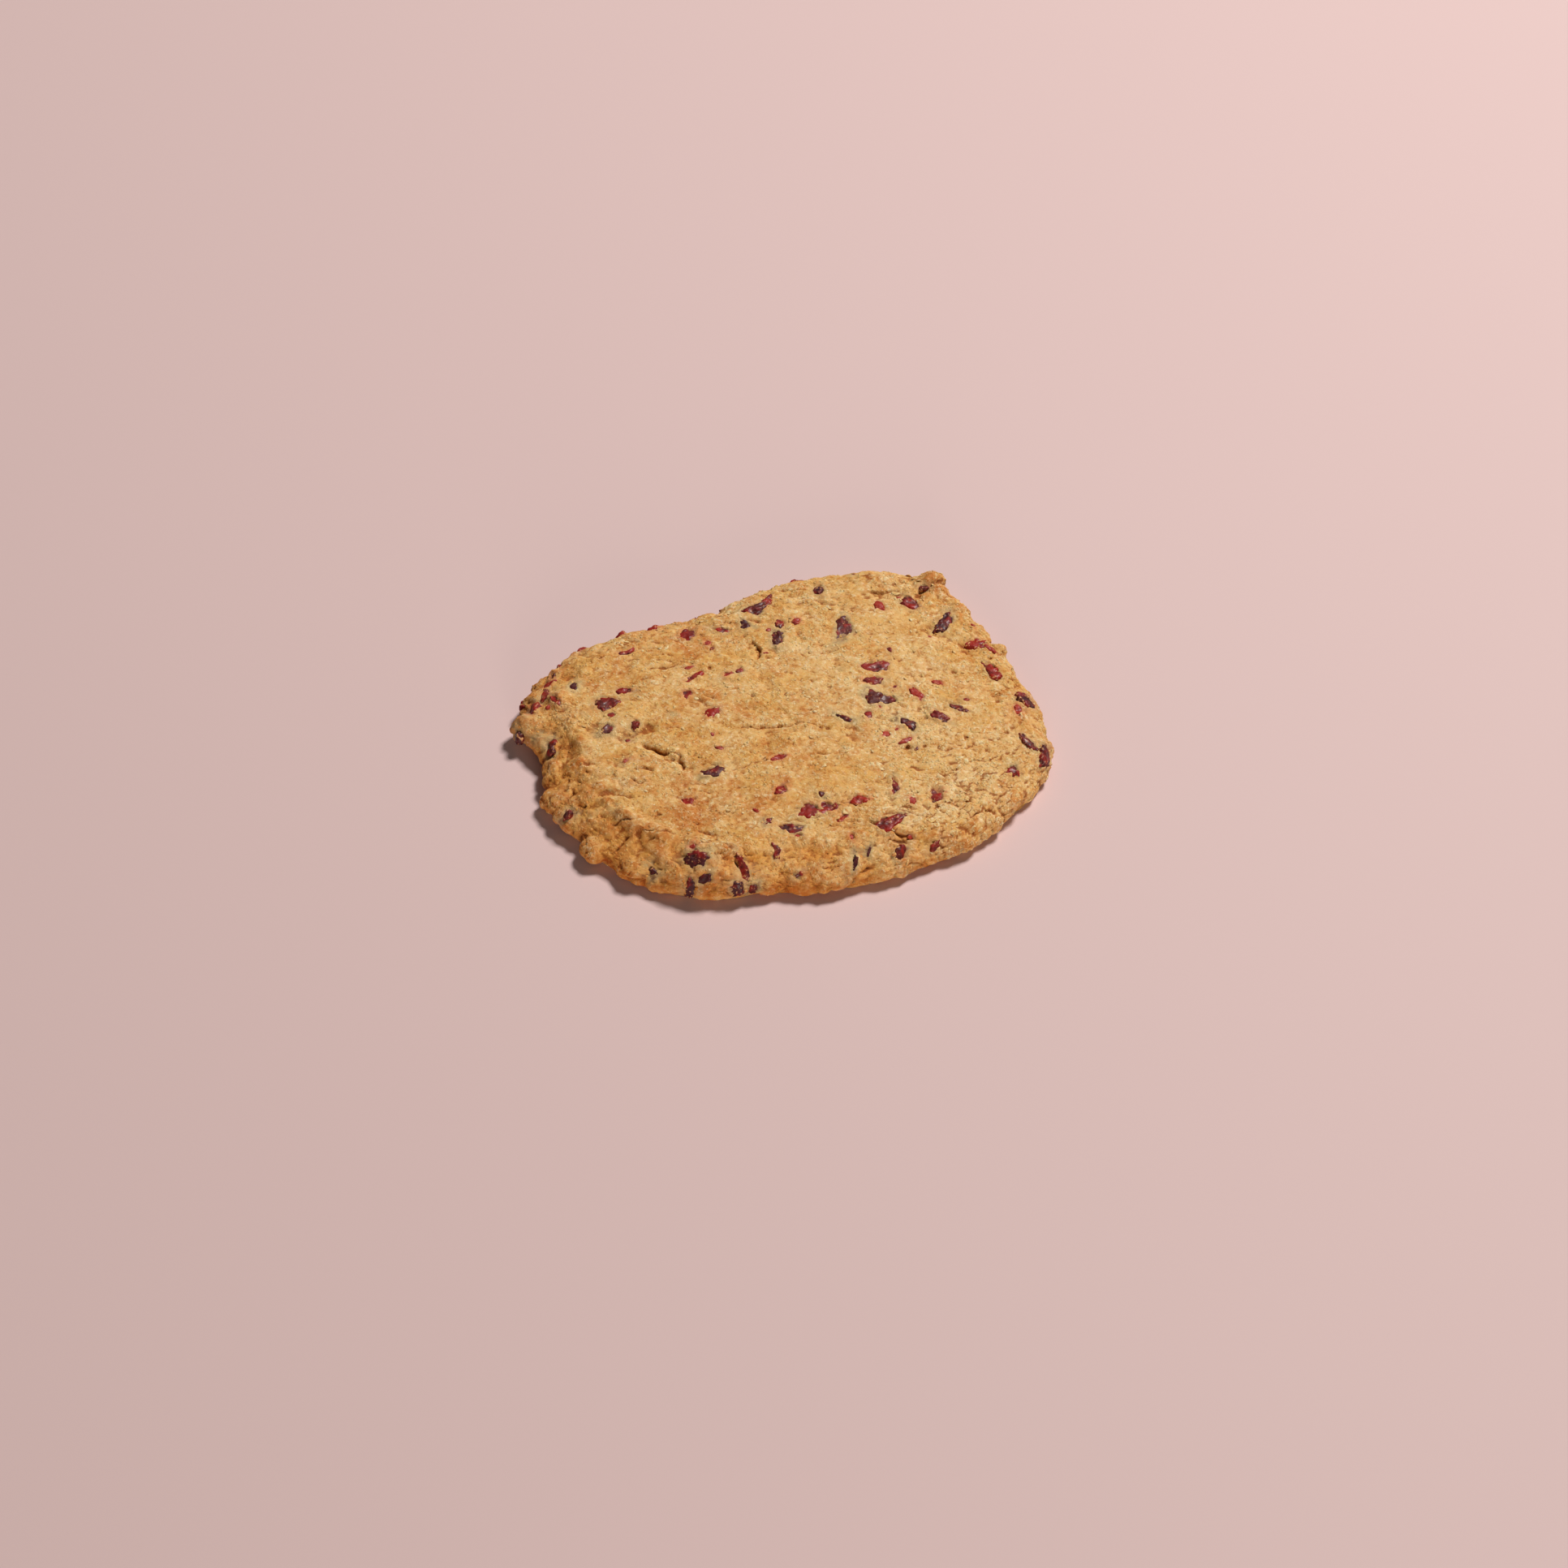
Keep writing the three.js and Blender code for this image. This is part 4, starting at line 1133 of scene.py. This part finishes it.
def crumb_grain():
    """The fine grain of baked dough: its height, the gaps and pores between the crumbs, marked for painted
    shade, pale flecks on the high grain that are partly a painted highlight, toasted speckle, and a mottle
    of lighter and darker patches."""
    make, given, out = new_group(
        "crumb_grain", [("Place", "Vector"), ("Size", "Float")],
        [(name, "Float") for name in ("Height", "Crease", "Fleck And Highlight", "Speckle", "Mottle")])
    per_size = make.maths("DIVIDE", 1.0, given["Size"])
    scaled = make.vector("SCALE", {0: given["Place"], "Scale": per_size})
    push = make.node("ShaderNodeTexNoise", {"Vector": scaled, "Scale": 0.7, "Detail": 3.0})
    place = make.vector("MULTIPLY_ADD", {0: push.outputs["Color"], 1: (1.3, 1.3, 1.3), 2: scaled})
    aside = make.vector("ADD", {0: place, 1: (31.0, 17.0, 5.0)})

    grit = make.noise(aside, 0.45, 3.0, 0.65)
    patches = make.noise(aside, 5.0)
    blotches = make.between(make.noise(scaled, 2.3), 0.3, 0.7, -0.07, 0.07)
    dome = make.between(make.cell_pattern(place, 1.5)["Distance"], 0.0, 0.75, 1.0, 0.0)
    crumbs = make.plus(make.noise(place, 1.1, 5.0, 0.66), blotches)
    body = make.plus(crumbs, make.times(dome, 0.14))

    # Painted shade: the grain's low gaps, with its seams and pores, become the Crease mask that darkens
    # the colour.
    gaps = make.between(body, 0.36, 0.48, 1.0, 0.0)
    border = make.cell_pattern(place, 0.42, feature="DISTANCE_TO_EDGE")["Distance"]
    seams = make.times(make.between(border, 0.0, 0.07, 1.0, 0.0),
                       make.between(make.noise(place, 2.6), 0.52, 0.64))
    dots = make.cell_pattern(aside, 0.36)
    drawn = make.node("ShaderNodeSeparateColor", {0: dots["Color"]}).outputs[0]
    pores = make.times(make.between(dots["Distance"], 0.05, 0.1, 1.0, 0.0),
                       make.maths("GREATER_THAN", drawn, 0.66))

    height = make.plus(make.times(body, 1.1), make.times(grit, 0.4))
    height = make.minus(height, make.times(seams, 0.3))
    height = make.minus(height, make.times(pores, 0.4))
    coarse = make.between(patches, 0.38, 0.6, 0.5, 1.1)
    height = make.plus(make.times(make.minus(height, GRAIN_LEVEL), coarse), GRAIN_LEVEL)
    grain = {
        "Height": height,
        # Crease marks the low grain for painted shade; the flecks on the high grain are partly real pale
        # flour and partly a painted highlight.
        "Crease": make.larger(make.larger(gaps, seams), make.times(pores, 2.0)),
        "Fleck And Highlight": make.between(body, 0.59, 0.73),
        "Speckle": make.times(make.between(grit, 0.5, 0.64), make.between(patches, 0.34, 0.58)),
        "Mottle": make.between(make.noise(place, 1.9, 3.0, 0.6), 0.37, 0.63, -0.26, 0.26),
    }
    for name, value in grain.items():
        make.feed(out[name], value)
    return make.tree


def oven_colour_and_painted_light():
    """Baked dough's colour, from how toasted, pale, flecked and speckled it is, with painted shade
    darkening its creases; the flecks are partly a painted highlight.
    """
    shares = ("Toast", "Pale", "Crease Shade Share", "Fleck And Highlight", "Speckle")
    make, given, out = new_group(
        "oven_colour_and_painted_light", [(name, "Float") for name in shares] + [(name, "Color") for name in OVEN_AND_SHADE_COLOURS],
        [("Colour", "Color")])
    colour = make.mix(make.times(given["Pale"], 0.45), given["Golden"], given["Cream"])
    colour = make.mix(make.between(given["Toast"], 0.25, 1.0), colour, given["Brown"])
    light = make.between(given["Pale"], 0.0, 1.0, 0.4, 0.78)
    # The flecks, on the high grain, are partly real pale flour and partly a painted highlight.
    colour = make.mix(make.times(given["Fleck And Highlight"], light), colour, given["Cream"])
    colour = make.mix(make.times(given["Speckle"], 0.52), colour, given["Brown"])
    # Painted shade: creases, cracks, pits and grain gaps darkened toward the crease shade colour.
    colour = make.mix(make.times(given["Crease Shade Share"], 0.85), colour, given["Crease Shade Colour"])
    make.feed(out["Colour"], colour)
    return make.tree


def new_material(name):
    material = bpy.data.materials.new(name)
    material.use_nodes = True
    return material, Finish(material.node_tree)


def dough_material(grain_tree, colour_tree):
    material, make = new_material("baked_dough")
    grain = make.group(grain_tree, {"Place": make.place(), "Size": 1.0 * MM})
    height = grain["Height"]
    # Painted shade: creases, cracks and pits, with the grain's gaps, get the crease shade colour.
    ragged = make.plus(make.field("crease_shade"), make.between(height, 0.6, 0.95, 0.22, -0.22))
    crease_shade = make.larger(make.between(ragged, 0.36, 1.0), make.times(grain["Crease"], 0.42), clamp=True)
    baked = make.group(colour_tree, {
        "Toast": make.plus(make.field("toast"), grain["Mottle"], clamp=True),
        "Pale": make.field("pale"), "Crease Shade Share": crease_shade, "Fleck And Highlight": grain["Fleck And Highlight"],
        "Speckle": grain["Speckle"], **OVEN_AND_SHADE_COLOURS})
    # Painted warm shade on the grain's low parts, in hollows and over the broken side.
    shade = make.larger(make.between(height, 0.62, 0.9, 0.75, 0.0), make.times(make.field("hollow"), 0.9))
    colour = make.mix(shade, baked["Colour"], WARM_SHADE, "MULTIPLY")
    stain = make.times(make.field("stain"), make.between(height, 0.6, 0.95, 1.45, 0.6))
    colour = make.mix(make.times(make.between(stain, 0.1, 0.6), 0.72), colour, HALO)
    colour = make.mix(make.times(make.between(stain, 0.6, 1.0), 0.5), colour, PLUM_STAIN)
    colour = make.mix(make.times(make.field("blush"), 0.6), colour, BLUSH)
    make.dress({"Base Color": colour, "Roughness": make.between(height, 0.5, 1.1, 0.86, 0.68),
                "Normal": make.bump(height, 0.63, 0.5 * MM), **BAKED})
    return material


def crumb_material(grain_tree, colour_tree):
    material, make = new_material("loose_crumb")
    grain = make.group(grain_tree, {"Place": make.place(), "Size": 0.8 * MM})
    height, shade = grain["Height"], make.field("shade")
    baked = make.group(colour_tree, {
        "Toast": make.plus(make.field("toast"), make.between(shade, 0.0, 1.0, -0.25, 0.3), clamp=True),
        "Pale": make.plus(make.field("pale"), make.between(shade, 0.0, 0.7, 0.35, -0.1), clamp=True),
        "Crease Shade Share": 0.0, "Fleck And Highlight": grain["Fleck And Highlight"], "Speckle": grain["Speckle"], **OVEN_AND_SHADE_COLOURS})
    # Painted warm shade where the crumbs lie in hollows or on the broken side.
    colour = make.mix(make.times(make.field("hollow"), 0.9), baked["Colour"], WARM_SHADE, "MULTIPLY")
    make.dress({"Base Color": colour, "Roughness": make.between(height, 0.5, 1.1, 0.86, 0.7),
                "Normal": make.bump(height, 0.4, 0.3 * MM), **BAKED})
    return material


def oat_material(grain_tree):
    material, make = new_material("oat_flake")
    grain = make.group(grain_tree, {"Place": make.place(), "Size": 0.9 * MM})
    shade = make.field("shade")
    colour = make.mix(shade, *OAT_COLOURS)
    # Painted warm shade where the flakes lie in hollows or on the broken side.
    colour = make.mix(make.field("hollow"), colour, WARM_SHADE, "MULTIPLY")
    colour = make.mix(make.times(grain["Speckle"], 0.5), colour, BROWN)
    # Painted shade: the grain's gaps darkened toward the crease shade colour.
    colour = make.mix(make.times(grain["Crease"], 0.35), colour, CREASE_SHADE_COLOUR)
    make.dress({"Base Color": colour, "Roughness": make.between(shade, 0.0, 1.0, 0.62, 0.78),
                "Normal": make.bump(grain["Height"], 0.4, 0.25 * MM),
                "Specular IOR Level": 0.4, "Subsurface Weight": 0.15,
                "Subsurface Radius": (1.0, 0.6, 0.35), "Subsurface Scale": 0.8 * MM})
    return material


def cranberry_material():
    """Wrinkled skin from bright red to nearly black, with a pale pink tint: a light dusting on every piece
    and, thickest on narrow bright pieces, painted light shining through them; and dough stuck on, most of
    it near the edges."""
    material, make = new_material("dried_cranberry")
    place, shade = make.place(), make.field("shade")
    mottle = make.noise(place, 0.9 * MM, 3.0, 0.6)
    depth = make.plus(make.field("tone"), make.between(mottle, 0.3, 0.7, -0.16, 0.16), clamp=True)
    bright, dark = make.mix(shade, *BRIGHT_SKINS), make.mix(shade, *DARK_SKINS)
    colour = make.mix(make.between(depth, 0.1, 0.85), bright, dark)
    dust = make.noise(place, 0.8 * MM, 2.0, 0.6)
    # Pale pink, patchy: dusting, and on thin bright pieces painted light shining through.
    veil_and_glow = make.times(make.field("veil_and_glow"), make.between(dust, 0.3, 0.6))
    colour = make.mix(veil_and_glow, colour, PINK_VEIL_AND_GLOW)
    patches = make.between(make.noise(place, 2.6 * MM, 1.0), 0.35, 0.65, -0.05, 0.04)
    stuck = make.plus(make.plus(dust, make.times(make.field("rim"), 0.07)), patches)
    colour = make.mix(make.between(stuck, 0.63, 0.7, 0.0, 0.8), colour, DOUGH_ON_SKIN)
    make.dress({"Base Color": colour, "Roughness": make.between(mottle, 0.3, 0.7, 0.6, 0.34),
                "Normal": make.bump(make.noise(place, 0.5 * MM, 3.0, 0.55, 0.6), 0.5, 0.25 * MM),
                "Specular IOR Level": 0.22, "Coat Weight": 0.13, "Coat Roughness": 0.2,
                "Subsurface Weight": 0.05, "Subsurface Radius": (1.0, 0.15, 0.12),
                "Subsurface Scale": 1.0 * MM})
    return material


# ---------------------------------------------------------------- floor, light and camera

# Places and sizes are in metres here. The camera: its place, the way its back faces, its roll
EYE = Vector((-0.2998, -0.6431, 0.6970))
BACK = Vector((-0.2988, -0.6409, 0.7071))
ROLL = math.radians(3.3)
FIELD_OF_VIEW = math.radians(22)
# Lights: name, place, side, power and colour
LIGHTS = [
    ("key", (1.08, 0.54, 1.72), 0.48, 44.6, (1.0, 0.965, 0.92)),
    ("fill", (-0.4, -1.25, 0.17), 0.36, 7.6, (1.0, 0.89, 0.78)),
]
STUDIO_COLOUR, STUDIO_STRENGTH = (1.0, 0.91, 0.83, 1), 0.07
FLOOR_COLOUR, FLOOR_REACH = linear(220, 193, 192), 3.0
FLOOR_DROP = 0.0002  # how far the floor lies under the cookie's base


def add_to_scene(name, data):
    made = bpy.data.objects.new(name, data)
    bpy.context.scene.collection.objects.link(made)
    return made


def build_camera():
    level = Vector((-BACK.y, BACK.x, 0)).normalized()
    upward = BACK.cross(level)
    right = math.cos(ROLL) * level + math.sin(ROLL) * upward
    up = -math.sin(ROLL) * level + math.cos(ROLL) * upward
    lens = bpy.data.cameras.new("camera")
    lens.sensor_width = lens.sensor_height = 36
    lens.sensor_fit = "HORIZONTAL"
    lens.angle = FIELD_OF_VIEW
    lens.clip_start, lens.clip_end = 0.01, 20
    camera = add_to_scene("camera", lens)
    turn = Matrix((right, up, BACK)).transposed().to_4x4()
    camera.matrix_world = Matrix.Translation(EYE) @ turn
    bpy.context.scene.camera = camera


def build_floor():
    reach = FLOOR_REACH
    mesh = bpy.data.meshes.new("floor")
    corners = [(-reach, -reach, 0), (reach, -reach, 0), (reach, reach, 0), (-reach, reach, 0)]
    mesh.from_pydata(corners, [], [(0, 1, 2, 3)])
    material, make = new_material("pale_floor")
    make.dress({"Base Color": FLOOR_COLOUR, "Roughness": 0.6, "Specular IOR Level": 0.2})
    mesh.materials.append(material)
    floor = add_to_scene("floor", mesh)
    floor.location.z = -FLOOR_DROP


def build_lights():
    for name, place, side, power, colour in LIGHTS:
        light = bpy.data.lights.new(name, "AREA")
        light.shape, light.size, light.energy, light.color = "SQUARE", side, power, colour
        turn = Vector(place).to_track_quat("Z", "Y").to_matrix().to_4x4()
        add_to_scene(name, light).matrix_world = Matrix.Translation(place) @ turn
    world = bpy.data.worlds.new("studio")
    world.use_nodes = True
    background = world.node_tree.nodes["Background"].inputs
    background["Color"].default_value = STUDIO_COLOUR
    background["Strength"].default_value = STUDIO_STRENGTH
    bpy.context.scene.world = world
    bpy.context.scene.view_settings.view_transform = "Standard"


# ---------------------------------------------------------------- the whole cookie


def build_cookie():
    grain, colour = crumb_grain(), oven_colour_and_painted_light()
    berries = lay_berries()
    dough = build_dough(berries)
    dough.data.materials.append(dough_material(grain, colour))
    cranberries = build_cranberries(berries)
    cranberries.data.materials.append(cranberry_material())
    tree = scatter_tree()
    crumbs = scatter_crumbs(dough, tree, crumb_material(grain, colour))
    oats = scatter_oats(dough, tree, oat_material(grain))
    for piece, slot in ((dough, "dough"), (cranberries, "cranberry"), (crumbs, "dough"),
                        (oats, "oat")):
        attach(piece, "root")
    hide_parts("cookie")


build_cookie()
build_floor()
build_lights()
build_camera()
